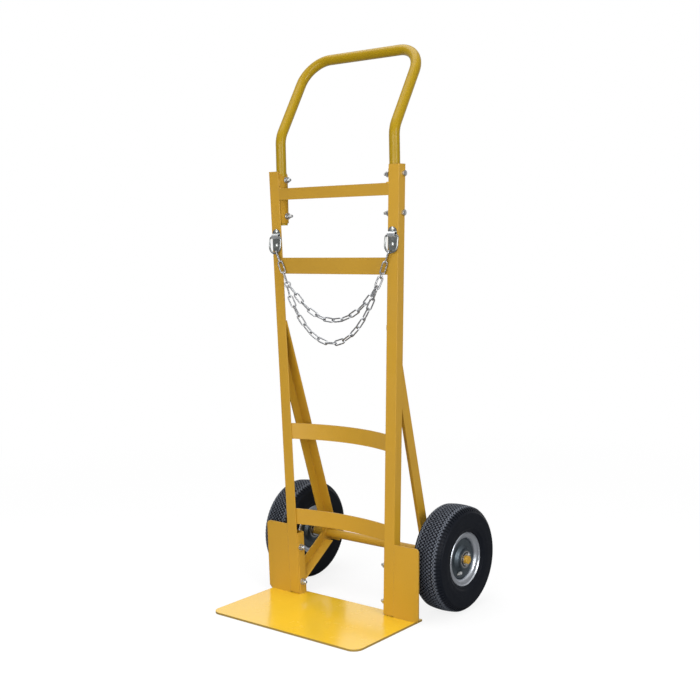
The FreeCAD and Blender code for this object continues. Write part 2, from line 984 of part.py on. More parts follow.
def race(outer, bore, side):
    half = ACROSS * (bearing_width / 2)
    body = ring(-half, half, outer, bore).cut(raceway())
    body.translate(ACROSS * bearing_place(side))
    return body


def outer_races():
    return [race(bearing_outer_radius, outer_race_bore, side) for side in (-1, 1)]


def inner_races():
    return [race(inner_race_radius, journal_radius + seat_gap, side) for side in (-1, 1)]


def bearing_balls():
    balls = []
    for side in (-1, 1):
        for i in range(ball_count):
            turn = 2 * math.pi * i / ball_count
            away = Vector(0, math.sin(turn), math.cos(turn))
            place = ACROSS * bearing_place(side) + away * ball_circle()
            balls.append(Part.makeSphere(ball_radius, place))
    return balls


def bearing_seals():
    seals = []
    for side in (-1, 1):
        face = side * (hub_length / 2 - seal_recess)
        back = face - side * seal_thickness
        low = ACROSS * min(face, back)
        high = ACROSS * max(face, back)
        seals.append(ring(low, high, outer_race_bore - seat_gap, inner_race_radius + seal_gap))
    return seals


def valve_direction():
    turn = math.radians(valve_turn)
    return Vector(0, math.sin(turn), math.cos(turn))


def valve_point(across):
    """Point on the bent leg of the stem, at one distance from the wheel's middle plane."""
    drop = (across - valve_place) * math.tan(math.radians(valve_lean))
    return ACROSS * across + valve_direction() * (valve_from_axle - drop)


def valve_stem():
    """Stem through the rim, bent out through the disc so that the cap can be reached."""
    away = valve_direction()
    root = ACROSS * valve_place + away * (rim_seat_radius + valve_root_gap)
    corner = valve_point(valve_place)
    tip = valve_point(valve_reach)
    path = rounded_edges([(root, 0), (corner, valve_bend_radius), (tip, 0)], closed=False)
    stem = swept(path, valve_radius)
    skirt = rod(root, root - away * valve_skirt_length, valve_skirt_radius)
    return stem.fuse(skirt)


def valve_cap():
    tip = valve_point(valve_reach)
    along = (tip - valve_point(valve_place)).normalize()
    start = tip - along * valve_cap_on_stem
    end = start + along * valve_cap_length
    bore_end = tip + along * seat_gap
    cap = rod(start, end, valve_cap_radius)
    rim_edges = [edge for edge in cap.Edges if edge.CenterOfMass.isEqual(end, seat_gap)]
    cap = cap.makeFillet(valve_cap_round, rim_edges)
    return cap.cut(rod(start, bore_end, valve_radius + seat_gap))


def save_wheel(name, pieces):
    solids = pieces if isinstance(pieces, list) else [pieces]
    right = [on_axle(solid, wheel_middle) for solid in solids]
    left = [mirrored(solid) for solid in right]
    save("right_" + name, right if len(right) > 1 else right[0])
    save("left_" + name, left if len(left) > 1 else left[0])


# Chain anchors

def anchor_plate():
    left = anchor_half_place - anchor_width / 2
    right = anchor_half_place + anchor_width / 2
    end_round = anchor_width / 2 - seat_gap
    corners = [
        (left, anchor_low, end_round),
        (right, anchor_low, end_round),
        (right, anchor_high, end_round),
        (left, anchor_high, end_round),
    ]
    thickness = BACK * anchor_thickness
    plate = flat_face(corners, on_xz(-anchor_thickness)).extrude(thickness)
    for height in anchor_screw_heights:
        start = Vector(anchor_half_place, -2 * anchor_thickness, height)
        end = Vector(anchor_half_place, anchor_thickness, height)
        plate = plate.cut(rod(start, end, anchor_screw_radius + bolt_hole_gap))
    return plate


def anchor_saddle():
    """Pressed half-round strap that holds the straight side of the ring to the plate."""
    left = anchor_half_place - saddle_width / 2
    start = Vector(left, -anchor_thickness, saddle_height)
    end = start + ACROSS * saddle_width
    tube = ring(start, end, saddle_radius, saddle_radius - saddle_sheet)
    size = 2 * saddle_radius
    front = start - BACK * size - UP * saddle_radius
    return tube.common(Part.makeBox(saddle_width, size, size, front))


def anchor_screw(height):
    seat = Vector(anchor_half_place, -anchor_thickness, height)
    dome_sphere = (anchor_dome_radius ** 2 + anchor_dome_height ** 2) / (2 * anchor_dome_height)
    centre = seat + BACK * (dome_sphere - anchor_dome_height)
    dome = Part.makeSphere(dome_sphere, centre)
    dome = dome.common(rod(seat - BACK * anchor_dome_height, seat, anchor_dome_radius))
    reach = anchor_thickness + frame_thickness + anchor_nut_height + anchor_screw_tail
    return dome.fuse(rod(seat, seat + BACK * reach, anchor_screw_radius))


def anchor_nut(height):
    start = Vector(anchor_half_place, frame_thickness, height)
    end = start + BACK * anchor_nut_height
    bore = rod(start, end, anchor_screw_radius + seat_gap)
    return hexagon(start, end, anchor_nut_flats).cut(bore)


def ring_hang():
    """Turn about the saddle that brings the foot of a ring off its plate."""
    turn = FreeCAD.Rotation(ACROSS, -ring_tilt)
    return FreeCAD.Placement(CENTRE, turn, Vector(0, ring_axis_back, ring_axis_height))


def ring_bow_centre():
    """Centre of the round part of the right ring before it tilts."""
    bow_radius = ring_width / 2 - ring_wire_radius
    bottom = ring_axis_height + ring_wire_radius - ring_height
    return Vector(anchor_half_place, ring_axis_back, bottom + ring_wire_radius + bow_radius)


def anchor_ring():
    """Ring with a straight side at the top, which turns in the saddle."""
    bow_radius = ring_width / 2 - ring_wire_radius
    centre = ring_bow_centre()
    top = ring_axis_height
    left = anchor_half_place - bow_radius
    right = anchor_half_place + bow_radius
    corner = ring_corner_radius

    def at(across, height):
        return Vector(across, ring_axis_back, height)

    slant = corner * math.sqrt(0.5)
    edges = [
        Part.LineSegment(at(anchor_half_place, top), at(right - corner, top)).toShape(),
        Part.Arc(
            at(right - corner, top),
            at(right - corner + slant, top - corner + slant),
            at(right, top - corner),
        ).toShape(),
        Part.LineSegment(at(right, top - corner), at(right, centre.z)).toShape(),
        Part.Arc(
            at(right, centre.z),
            at(centre.x, centre.z - bow_radius),
            at(left, centre.z),
        ).toShape(),
        Part.LineSegment(at(left, centre.z), at(left, top - corner)).toShape(),
        Part.Arc(
            at(left, top - corner),
            at(left + corner - slant, top - corner + slant),
            at(left + corner, top),
        ).toShape(),
        Part.LineSegment(at(left + corner, top), at(anchor_half_place, top)).toShape(),
    ]
    shape = swept(edges, ring_wire_radius)
    shape.Placement = ring_hang()
    return shape


# Chain

def chain_link():
    """One link along X about its own middle, flat in the XZ plane."""
    bend = link_width / 2 - link_wire_radius
    straight = link_inside_length + 4 * link_wire_radius - link_width
    half = straight / 2
    pieces = []
    for side in (-1, 1):
        start = Vector(-half, 0, side * bend)
        pieces.append(rod(start, start + ACROSS * straight, link_wire_radius))
        end = Vector(side * half, 0, side * bend)
        circle = Part.Edge(Part.Circle(end, ACROSS, link_wire_radius))
        section = Part.Face(Part.Wire(circle))
        pieces.append(section.revolve(Vector(side * half, 0, 0), BACK, 180))
    return pieces[0].multiFuse(pieces[1:]).removeSplitter()


def turned_to(heading, roll):
    """Turn that takes X to the heading and rolls the flat side about it."""
    along = Vector(heading).normalize()
    flat = BACK - along * BACK.dot(along)
    flat.normalize()
    side = along.cross(flat)
    angle = math.radians(roll)
    normal = flat * math.cos(angle) + side * math.sin(angle)
    return FreeCAD.Rotation(along, normal, along.cross(normal), "XYZ")


def placed_link(middle, heading, roll):
    link = chain_link_shape.copy()
    link.Placement = FreeCAD.Placement(middle, turned_to(heading, roll))
    return link


def joint_ring(middle, heading, roll):
    axis = turned_to(heading, roll).multVec(BACK)
    return Part.makeTorus(joint_ring_radius, link_wire_radius, middle, axis)


def lead(side, turn_down, count):
    """Links from an anchor ring down to the ring where the two strands begin."""
    centre = ring_bow_centre()
    centre = Vector(side * centre.x, centre.y, centre.z)
    turn = math.radians(turn_down)
    heading = Vector(-side * math.cos(turn), 0, -math.sin(turn))
    bow_radius = ring_width / 2 - ring_wire_radius
    ring_wire = ring_hang().multVec(centre + heading * bow_radius)
    end_wire = link_inside_length / 2 + link_wire_radius
    first = end_wire - ring_wire_radius - link_wire_radius - joint_gap
    middles = [ring_wire + heading * (first + i * link_pitch) for i in range(count)]
    rolls = [side_roll(i, first_link_roll) for i in range(count)]
    links = [placed_link(middles[i], heading, rolls[i]) for i in range(count)]
    to_ring = end_wire - 2 * link_wire_radius - joint_gap + joint_ring_radius
    split = middles[-1] + heading * to_ring
    return links, split, heading, side_roll(count, link_roll)


def side_roll(index, size):
    """Roll of a link: links in turn lean to one side and the other."""
    return size if index % 2 == 0 else link_roll - quarter_turn


def hanging_turns(count, span, rise, swings):
    """Slopes of a hanging run of equal links between two points."""

    def sums(steepness, middle):
        turns = [math.atan(steepness * (i - middle)) for i in range(count)]
        across = sum(link_pitch * math.cos(s) * math.cos(t) for t, s in zip(turns, swings))
        up = sum(link_pitch * math.cos(s) * math.sin(t) for t, s in zip(turns, swings))
        return turns, across, up

    def level(steepness):
        low = -4.0 * count
        high = 5.0 * count
        for _ in range(60):
            middle = (low + high) / 2
            if sums(steepness, middle)[2] > rise:
                low = middle
            else:
                high = middle
        return middle

    shallow = 1e-3
    steep = 5.0
    for _ in range(60):
        steepness = (shallow + steep) / 2
        if sums(steepness, level(steepness))[1] > span:
            shallow = steepness
        else:
            steep = steepness
    return sums(steepness, level(steepness))[0]


def ring_point(split, heading, roll, below):
    """Middle of the wire end of a strand's end link, inside a joining ring."""
    reach = joint_ring_radius - 2 * link_wire_radius - joint_gap
    angle = math.radians(strand_spread_angle)
    aside = turned_to(heading, roll).multVec(UP)
    if (aside.z > 0) == below:
        aside = -aside
    return split + heading * (reach * math.cos(angle)) + aside * (reach * math.sin(angle))


def strand(start_eye, end_eye, count, swing, first_roll, last_roll):
    """Links of one strand between the wire ends that hold it."""
    end_lead = link_inside_length / 2 + link_wire_radius - link_pitch / 2
    swings = [0.0] * count
    swings[0] = math.radians(swing)
    swings[-1] = -math.radians(swing)
    turns = [-math.pi / 4] + [0.0] * (count - 2) + [math.pi / 4]
    for _ in range(6):
        first = Vector(math.cos(turns[0]), math.sin(swings[0]), math.sin(turns[0]))
        last = Vector(math.cos(turns[-1]), math.sin(swings[-1]), math.sin(turns[-1]))
        start = start_eye + first * end_lead
        finish = end_eye - last * end_lead
        span = finish - start
        turns = hanging_turns(count, span.x, span.z, swings)
    drift = span.y / count / link_pitch
    turn_over = last_roll - first_roll - quarter_turn * (count - 1)
    half_turn = 2 * quarter_turn
    twist = ((turn_over + quarter_turn) % half_turn - quarter_turn) / (count - 1)
    links = []
    point = start
    for i in range(count):
        level_part = math.cos(swings[i])
        heading = Vector(
            level_part * math.cos(turns[i]),
            math.sin(swings[i]) + drift,
            level_part * math.sin(turns[i]),
        )
        after = point + heading * link_pitch
        roll = first_roll + i * (quarter_turn + twist)
        links.append(placed_link((point + after) / 2, heading, roll))
        point = after
    return links


chain_link_shape = chain_link()

os.makedirs("parts", exist_ok=True)

save_pair("upright", upright())
save("upper_crossbar", flat_bar(upper_bar_low, upper_bar_height))
save("second_crossbar", flat_bar(second_bar_low, second_bar_height))
save("upper_cradle_rail", cradle_rail(upper_rail_low, upper_rail_bow))
save("lower_cradle_rail", cradle_rail(lower_rail_low, lower_rail_bow))
save("handle_tube", handle_tube())
save_pair("handle_socket", handle_socket())
save("handle_bolts", sum([both_sides(handle_bolt(h)) for h in handle_bolt_heights], []))
save("handle_spacers", sum([both_sides(handle_spacer(h)) for h in handle_bolt_heights], []))
save("toe_plate", toe_plate())
save_pair("side_plate", side_plate())
save_pair("toe_post", toe_post())
save("toe_bolts", sum([both_sides(toe_bolt(h)) for h in toe_bolt_heights], []))
save("toe_spacers", both_sides(toe_spacer(toe_bolt_heights[1])))
washers = [handle_washer(h) for h in handle_bolt_heights]
washers += [toe_washer(h) for h in toe_bolt_heights]
save("bolt_washers", sum([both_sides(washer) for washer in washers], []))
nuts = [handle_nut(h) for h in handle_bolt_heights]
nuts += [toe_nut(h) for h in toe_bolt_heights]
save("bolt_nuts", sum([both_sides(nut) for nut in nuts], []))
save_pair("rear_brace", rear_brace())
save_pair("lower_stay", lower_stay())
save("axle", axle())
washer_places = (journal_start(), wheel_middle + hub_length / 2)
save("axle_washers", sum([both_sides(axle_washer(place)) for place in washer_places], []))
save("split_pins", both_sides(split_pin()))
races = [on_axle(solid, wheel_middle) for solid in inner_races()]
save("bearing_inner_races", sum([both_sides(solid) for solid in races], []))

save_wheel("tyre", tyre())
save_wheel("inner_tube", inner_tube())
save_wheel("rim", rim())
save_wheel("wheel_discs", [valve_side_disc(), mirrored(wheel_disc())])
save_wheel("hub", hub())
save_wheel("bearing_outer_races", outer_races())
save_wheel("bearing_balls", bearing_balls())
save_wheel("bearing_seals", bearing_seals())
save_wheel("valve_stem", valve_stem())
save_wheel("valve_cap", valve_cap())

save("anchor_plates", both_sides(anchor_plate()))
save("anchor_saddles", both_sides(anchor_saddle()))
save("anchor_screws", sum([both_sides(anchor_screw(h)) for h in anchor_screw_heights], []))
save("anchor_nuts", sum([both_sides(anchor_nut(h)) for h in anchor_screw_heights], []))
save("anchor_rings", both_sides(anchor_ring()))

left_links, *left_end = lead(-1, left_lead_turn, left_lead_count)
right_links, *right_end = lead(1, right_lead_turn, right_lead_count)
save("left_chain_lead", left_links)
save("right_chain_lead", right_links)
save("chain_joining_rings", [joint_ring(*left_end), joint_ring(*right_end)])
first_roll = left_end[-1] + quarter_turn
last_roll = quarter_turn - right_end[-1]

for name, count, below, swing in (
    ("lower_chain_strand", lower_strand_count, True, lower_strand_swing_angle),
    ("upper_chain_strand", upper_strand_count, False, upper_strand_swing_angle),
):
    start_eye = ring_point(*left_end, below)
    end_eye = ring_point(*right_end, below)
    save(name, strand(start_eye, end_eye, count, swing, first_roll, last_roll))
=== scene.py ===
import math

import bmesh
import bpy
import numpy as np
from mathutils import Matrix, Vector


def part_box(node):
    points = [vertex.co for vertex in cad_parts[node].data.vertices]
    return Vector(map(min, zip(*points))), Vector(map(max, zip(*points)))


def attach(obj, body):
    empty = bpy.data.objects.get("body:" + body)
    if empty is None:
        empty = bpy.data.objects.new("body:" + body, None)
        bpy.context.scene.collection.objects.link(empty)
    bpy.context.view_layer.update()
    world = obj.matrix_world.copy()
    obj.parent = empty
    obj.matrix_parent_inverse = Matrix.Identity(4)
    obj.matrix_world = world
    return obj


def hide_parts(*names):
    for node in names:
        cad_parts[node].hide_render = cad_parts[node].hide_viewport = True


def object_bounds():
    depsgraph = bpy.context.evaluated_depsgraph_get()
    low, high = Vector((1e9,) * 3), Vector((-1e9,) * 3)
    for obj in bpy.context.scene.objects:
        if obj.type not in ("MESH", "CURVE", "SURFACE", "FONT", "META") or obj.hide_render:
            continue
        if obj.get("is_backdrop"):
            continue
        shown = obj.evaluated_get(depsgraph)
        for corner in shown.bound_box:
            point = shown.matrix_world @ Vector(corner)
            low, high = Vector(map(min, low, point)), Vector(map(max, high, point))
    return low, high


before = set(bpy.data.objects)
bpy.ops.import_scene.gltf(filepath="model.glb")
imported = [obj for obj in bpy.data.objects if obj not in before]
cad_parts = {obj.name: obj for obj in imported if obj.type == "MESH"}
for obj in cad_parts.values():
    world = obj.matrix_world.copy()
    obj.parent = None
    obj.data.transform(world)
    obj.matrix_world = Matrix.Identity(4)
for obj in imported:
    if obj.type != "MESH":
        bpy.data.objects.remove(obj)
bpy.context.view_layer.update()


# Studio floor: a plain pale sheet that runs to the horizon. It keeps the
# trolley's soft shadow and is plain white further off. Around and in front of
# the trolley polished metal mirrors its own grey.

def new_material(name, colour, roughness, metallic=0.0):
    """Material with one Principled shader; returns it with its tree and shader."""
    made = bpy.data.materials.new(name)
    made.use_nodes = True
    made.diffuse_color = (*colour, 1)
    shader = made.node_tree.nodes["Principled BSDF"]
    shader.inputs["Base Color"].default_value = (*colour, 1)
    shader.inputs["Roughness"].default_value = roughness
    shader.inputs["Metallic"].default_value = metallic
    return made, made.node_tree, shader


def node(tree, kind, inputs=(), output=0, **settings):
    """Add one node. Its inputs are numbers, colours or other nodes' sockets."""
    made = tree.nodes.new(kind)
    for key, value in settings.items():
        setattr(made, key, value)
    for key, value in dict(inputs).items():
        if isinstance(value, bpy.types.NodeSocket):
            tree.links.new(value, made.inputs[key])
        else:
            made.inputs[key].default_value = value
    return made.outputs[output]


def maths(tree, operation, a, b=0.0, c=0.0):
    return node(tree, "ShaderNodeMath", {0: a, 1: b, 2: c}, operation=operation)


def grey_colour(tree, tone):
    return node(tree, "ShaderNodeCombineColor", {0: tone, 1: tone, 2: tone})


floor_half = 30.0
floor_grey = 0.22
floor_white = 0.86
mirrored_white = 0.45
mirrored_from, mirrored_to = 0.5, 2.2
plain_from, plain_to, plain_least = 1.0, 2.6, 0.84
backdrop_side = (-0.629, 0.777, 0.0)
floor_mesh = bpy.data.meshes.new("floor")
floor_mesh.from_pydata(
    [(-floor_half, -floor_half, 0), (floor_half, -floor_half, 0),
     (floor_half, floor_half, 0), (-floor_half, floor_half, 0)],
    [], [(0, 1, 2, 3)])
floor = bpy.data.objects.new("floor", floor_mesh)
bpy.context.collection.objects.link(floor)
floor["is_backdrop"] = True

floor_paper, tree, shader = new_material("floor_paper", (floor_grey,) * 3, 0.9)
path = tree.nodes.new("ShaderNodeLightPath")
place = node(tree, "ShaderNodeTexCoord", output=3)
behind = node(tree, "ShaderNodeVectorMath", {0: place, 1: backdrop_side}, output=1,
              operation="DOT_PRODUCT")
behind = node(tree, "ShaderNodeMapRange",
              {"Value": behind, "From Min": mirrored_from, "From Max": mirrored_to},
              interpolation_type="SMOOTHSTEP")
mirrored = maths(tree, "MAXIMUM", path.outputs["Is Glossy Ray"], path.outputs["Is Transmission Ray"])
mirrored = maths(tree, "MULTIPLY", mirrored, mirrored_white)
seen = maths(tree, "MAXIMUM", path.outputs["Is Camera Ray"], maths(tree, "MULTIPLY", mirrored, behind))
tone = maths(tree, "MULTIPLY_ADD", seen, floor_white - floor_grey, floor_grey)
tree.links.new(grey_colour(tree, tone), shader.inputs["Base Color"])
white = node(tree, "ShaderNodeEmission", {"Color": (1, 1, 1, 1), "Strength": 1.0})
away = node(tree, "ShaderNodeVectorMath", {0: place}, output=1, operation="LENGTH")
plain = node(tree, "ShaderNodeMapRange",
             {"Value": away, "From Min": plain_from, "From Max": plain_to, "To Min": plain_least},
             interpolation_type="SMOOTHSTEP")
share = maths(tree, "MULTIPLY", seen, plain)
mixed = node(tree, "ShaderNodeMixShader", {0: share, 1: shader.outputs[0], 2: white})
tree.links.new(mixed, tree.nodes["Material Output"].inputs["Surface"])
floor_mesh.materials.append(floor_paper)


# Studio light: a wide soft box overhead, one in front and one to the right, in
# a grey room with a pale ceiling and a white backdrop behind the trolley. The
# dark parts of the room are what the side of a wheel and a flat plate mirror.

room_grey = 0.29
backdrop_white = 0.76
ceiling_white = 0.85
world = bpy.data.worlds.new("studio")
world.use_nodes = True
bpy.context.scene.world = world
tree = world.node_tree
direction = node(tree, "ShaderNodeTexCoord", output=0)
facing = node(tree, "ShaderNodeVectorMath", {0: direction, 1: backdrop_side}, output=1,
              operation="DOT_PRODUCT")
backdrop = node(tree, "ShaderNodeMapRange",
                {"Value": facing, "From Min": 0.20, "From Max": 0.66,
                 "To Min": room_grey, "To Max": backdrop_white},
                interpolation_type="SMOOTHSTEP")
height = node(tree, "ShaderNodeVectorMath", {0: direction, 1: (0, 0, 1)}, output=1, operation="DOT_PRODUCT")
ceiling = node(tree, "ShaderNodeMapRange",
               {"Value": height, "From Min": 0.25, "From Max": 0.85,
                "To Min": room_grey, "To Max": ceiling_white},
               interpolation_type="SMOOTHSTEP")
room = maths(tree, "MAXIMUM", backdrop, ceiling)
path = tree.nodes.new("ShaderNodeLightPath")
dim = node(tree, "ShaderNodeBackground", {"Color": (1, 1, 1, 1), "Strength": room})
white = node(tree, "ShaderNodeBackground", {"Color": (1, 1, 1, 1), "Strength": 1.0})
mixed = node(tree, "ShaderNodeMixShader", {0: path.outputs["Is Camera Ray"], 1: dim, 2: white})
tree.links.new(mixed, tree.nodes["World Output"].inputs["Surface"])

for name, place, aim, size, power in (
    ("overhead_box", (-0.3, -0.1, 3.2), (0.0, 0.0, 0.4), (2.6, 2.2), 44.0),
    ("front_box", (0.7, -2.6, 1.0), (0.0, 0.0, 0.3), (2.4, 1.3), 52.0),
    ("right_box", (3.0, -0.8, 1.2), (0.0, 0.0, 0.5), (1.4, 1.6), 49.0),
):
    lamp = bpy.data.lights.new(name, "AREA")
    lamp.shape = "RECTANGLE"
    lamp.size, lamp.size_y = size
    lamp.energy = power
    holder = bpy.data.objects.new(name, lamp)
    holder.location = place
    holder.rotation_mode = "QUATERNION"
    holder.rotation_quaternion = (Vector(aim) - Vector(place)).to_track_quat("-Z", "Y")
    bpy.context.collection.objects.link(holder)

bpy.context.scene.view_settings.view_transform = "Standard"


# Camera: a 57 mm lens at chest height, ahead and to the right of the trolley,
# tilted a little down and rolled by about one degree, as in the photograph.

camera_place = (1.726383, -2.102972, 0.924269)
camera_turn = math.radians(38.984)
camera_tilt = math.radians(5.993)
camera_roll = -0.0197
look = Vector((-math.sin(camera_turn) * math.cos(camera_tilt),
               math.cos(camera_turn) * math.cos(camera_tilt), -math.sin(camera_tilt)))
level_right = Vector((math.cos(camera_turn), math.sin(camera_turn), 0))
level_up = level_right.cross(look)
right = level_right * math.cos(camera_roll) + level_up * math.sin(camera_roll)
up = level_up * math.cos(camera_roll) - level_right * math.sin(camera_roll)
camera_data = bpy.data.cameras.new("camera")
camera_data.lens = 57.39
camera_data.sensor_width = 36.0
camera = bpy.data.objects.new("camera", camera_data)
camera.matrix_world = Matrix.Translation(camera_place) @ Matrix((right, up, -look)).transposed().to_4x4()
bpy.context.collection.objects.link(camera)
bpy.context.scene.camera = camera


# Welded frame: uprights, crossbars, cradle rails, braces, stays, side plates and posts of mild steel, with
# the axle between them. All is sprayed with semi-gloss ochre enamel, with pale edges that are partly thin
# paint and partly painted highlight. The crossbars get a darker copy of the enamel as painted shade.

def object_place(tree):
    return node(tree, "ShaderNodeTexCoord", output=3)


def noise(tree, place, scale, detail=2.0, rough=0.5, **more):
    return node(tree, "ShaderNodeTexNoise",
                {"Vector": place, "Scale": scale, "Detail": detail, "Roughness": rough}, **more)


def between(tree, value, low, high, to_low, to_high, clamp=True):
    return node(tree, "ShaderNodeMapRange",
                {"Value": value, "From Min": low, "From Max": high, "To Min": to_low, "To Max": to_high},
                clamp=clamp)


def mixed_colour(tree, share, a, b, blend="MIX"):
    """Mix two colours; each is a socket or three numbers."""
    def full(c):
        return c if isinstance(c, bpy.types.NodeSocket) else (*c, 1)
    return node(tree, "ShaderNodeMix", {0: share, 6: full(a), 7: full(b)}, output=2,
                data_type="RGBA", blend_type=blend)


def bumped(tree, height, strength, distance, normal=None):
    inputs = {"Height": height, "Strength": strength, "Distance": distance}
    if normal:
        inputs["Normal"] = normal
    return node(tree, "ShaderNodeBump", inputs)


def toned(tree, colour, tone):
    """Colour made lighter or darker by a tone, where 1 leaves it as it is."""
    return mixed_colour(tree, 1.0, colour, grey_colour(tree, tone), "MULTIPLY")


def soft_normal(tree, radius):
    """Normal with edges rounded by a radius."""
    return node(tree, "ShaderNodeBevel", {"Radius": radius}, samples=6)


def edge_share(tree, soft):
    """How near an edge a point is, from 0 on a flat face to 1 on the edge."""
    plain = node(tree, "ShaderNodeNewGeometry", output=1)
    same = node(tree, "ShaderNodeVectorMath", {0: soft, 1: plain}, output=1, operation="DOT_PRODUCT")
    return between(tree, same, 0.995, 0.80, 0.0, 1.0)


thin_film_and_edge_highlight = (0.74, 0.52, 0.16)
chipped_steel = (0.16, 0.13, 0.11)


def enamel(name, colour, deep, roughness, peel, wear):
    """Sprayed enamel: uneven film, orange peel, pale edges that are partly thin paint and partly a painted
    highlight, with a few chips.
    """
    made, tree, shader = new_material(name, colour, roughness)
    place = object_place(tree)
    soft = soft_normal(tree, 0.0007)
    edge = edge_share(tree, soft)
    clouds = between(tree, noise(tree, place, 7.0, 3.0), 0.35, 0.65, 0.0, 1.0)
    film = mixed_colour(tree, clouds, colour, deep)
    grain = noise(tree, place, 420.0, 2.0, 0.6)
    film = toned(tree, film, between(tree, grain, 0.3, 0.7, 0.965, 1.03))
    # Edges are mixed towards pale cream: partly thin paint, partly a painted highlight where edges catch the
    # light.
    film = mixed_colour(tree, maths(tree, "MULTIPLY", edge, 0.35), film, thin_film_and_edge_highlight)
    spots = noise(tree, place, 160.0, 4.0, 0.65)
    chipped = between(tree, maths(tree, "ADD", spots, maths(tree, "MULTIPLY", edge, wear)),
                      0.84, 0.87, 0.0, 1.0)
    film = mixed_colour(tree, chipped, film, chipped_steel)
    tree.links.new(film, shader.inputs["Base Color"])
    smear = noise(tree, place, 18.0, 5.0, 0.6)
    gloss = between(tree, smear, 0.3, 0.7, roughness - 0.06, roughness + 0.08)
    gloss = maths(tree, "ADD", gloss, maths(tree, "MULTIPLY", chipped, 0.2))
    tree.links.new(gloss, shader.inputs["Roughness"])
    peel_height = noise(tree, place, 150.0, 1.0)
    normal = bumped(tree, peel_height, peel, 0.0005, soft)
    normal = bumped(tree, maths(tree, "SUBTRACT", 1.0, chipped), 0.25, 0.0002, normal)
    tree.links.new(normal, shader.inputs["Normal"])
    return made


def finish_nodes(names, material):
    """Give carried-over nodes one material."""
    for name in names:
        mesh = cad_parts[name].data
        mesh.materials.clear()
        mesh.materials.append(material)


def both(name):
    return ["left_" + name, "right_" + name]


frame_paint = enamel("frame_paint", (0.480, 0.265, 0.017), (0.452, 0.248, 0.017), 0.40, 0.10, 0.42)
# Crossbars: the frame enamel made darker, as painted shade; it is the same paint as the frame.
shaded_bar_paint = enamel("shaded_bar_paint", (0.435, 0.240, 0.016), (0.410, 0.225, 0.016), 0.40, 0.10, 0.42)
finish_nodes(["upper_crossbar", "second_crossbar"], shaded_bar_paint)
finish_nodes(both("upright") + both("rear_brace") + both("lower_stay") + both("side_plate") + both("toe_post")
             + ["upper_cradle_rail", "lower_cradle_rail", "axle"], frame_paint)


# Weld beads: rippled runs of weld metal, 3 to 4 mm across, laid by hand where
# the bars, plates and sleeves meet. They wear the same enamel as the frame.

def mark_lines(name, runs):
    """Mesh of open runs of points; each point carries its bead's radius."""
    mesh = bpy.data.meshes.new(name)
    points = [point for run, size in runs for point in run]
    edges = []
    for run, size in runs:
        start = edges[-1][1] + 1 if edges else 0
        edges += [(start + i, start + i + 1) for i in range(len(run) - 1)]
    mesh.from_pydata(points, edges, [])
    sizes = mesh.attributes.new("bead", "FLOAT", "POINT")
    for i, size in enumerate([size for run, size in runs for point in run]):
        sizes.data[i].value = size
    return mesh


def new_tree(name, inputs):
    """Empty geometry tree with named inputs; returns it and its input sockets."""
    tree = bpy.data.node_groups.new(name, "GeometryNodeTree")
    tree.interface.new_socket("Geometry", in_out="INPUT", socket_type="NodeSocketGeometry")
    for label, kind, default in inputs:
        socket = tree.interface.new_socket(label, in_out="INPUT", socket_type="NodeSocket" + kind)
        if default is not None:
            socket.default_value = default
    tree.interface.new_socket("Geometry", in_out="OUTPUT", socket_type="NodeSocketGeometry")
    return tree, tree.nodes.new("NodeGroupInput").outputs


def end_tree(tree, geometry, material):
    """Last nodes of every tree: real geometry in one material."""
    plain = node(tree, "GeometryNodeRealizeInstances", {0: geometry})
    shown = node(tree, "GeometryNodeSetMaterial", {"Geometry": plain, "Material": material})
    out = tree.nodes.new("NodeGroupOutput")
    tree.links.new(shown, out.inputs[0])


def run_tree(name, mesh, tree, values):
    """Plain object made by a geometry tree from a mesh and its named inputs."""
    holder = bpy.data.objects.new(name + "_source", mesh)
    bpy.context.collection.objects.link(holder)
    modifier = holder.modifiers.new("tree", "NODES")
    modifier.node_group = tree
    for item in tree.interface.items_tree:
        if item.in_out == "INPUT" and item.name in values:
            modifier[item.identifier] = values[item.name]
    bpy.context.view_layer.update()
    result = bpy.data.meshes.new_from_object(holder.evaluated_get(bpy.context.evaluated_depsgraph_get()))
    holder.modifiers.clear()
    bpy.data.objects.remove(holder)
    result.name = name
    piece = bpy.data.objects.new(name, result)
    bpy.context.collection.objects.link(piece)
    return piece


foot_side = 0.1647
upright_lean = 0.03474
upright_face = 0.030
brace_lean = 0.2761


def upright_side(height):
    """Outer face of an upright at a height, in metres from the middle."""
    return foot_side + upright_lean * height


def front_edge(height):
    """Inner edge of an upright's front face."""
    return upright_side(height) - upright_face


def upright_run(inset, back, low, high, size):
    """Run up an upright, so far in from its outer face and back from its front."""
    return [(upright_side(z) - inset, front + back, z) for z in (low, high)], size


def level_run(inner, outer, back, height, size):
    """Level run across the trolley at a height."""
    return [(x, front + back, height) for x in (inner, outer)], size


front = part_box("left_upright")[0].y
axle_middle = (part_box("axle")[0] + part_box("axle")[1]) / 2

# Ends of both crossbars, and a short lump at each top end of the upper one.
runs = [upright_run(upright_face, 0.003, low, high, 0.0017)
        for low, high in ((1.0110, 1.0355), (0.8280, 0.8640))]
lump = front_edge(1.0373)
runs.append(level_run(lump + 0.0005, lump - 0.0070, 0.0013, 1.0375, 0.0022))

# Round the flat ends of both cradle rails, which lap onto the uprights.
rail_height = 0.040
for low in (0.407, 0.187):
    lap_end = upright_side(low) - 0.0086
    for z in (low, low + rail_height):
        runs.append(level_run(front_edge(z) + 0.001, lap_end, 0.0037, z, 0.0017))
    runs.append(([(lap_end, front + 0.0037, z) for z in (low + 0.003, low + rail_height - 0.003)], 0.0015))

# Braces and stays: up the uprights, across their feet and beside the axle.
runs.append(upright_run(0.0028, 0.0252, 0.528, 0.618, 0.0019))
runs.append(level_run(foot_side - 0.009, foot_side - 0.030, 0.0284, 0.0415, 0.0018))
runs.append(([(upright_side(z) - 0.0045, front + 0.1335 - brace_lean * (z - 0.130), z)
              for z in (0.111, 0.134)], 0.0016))

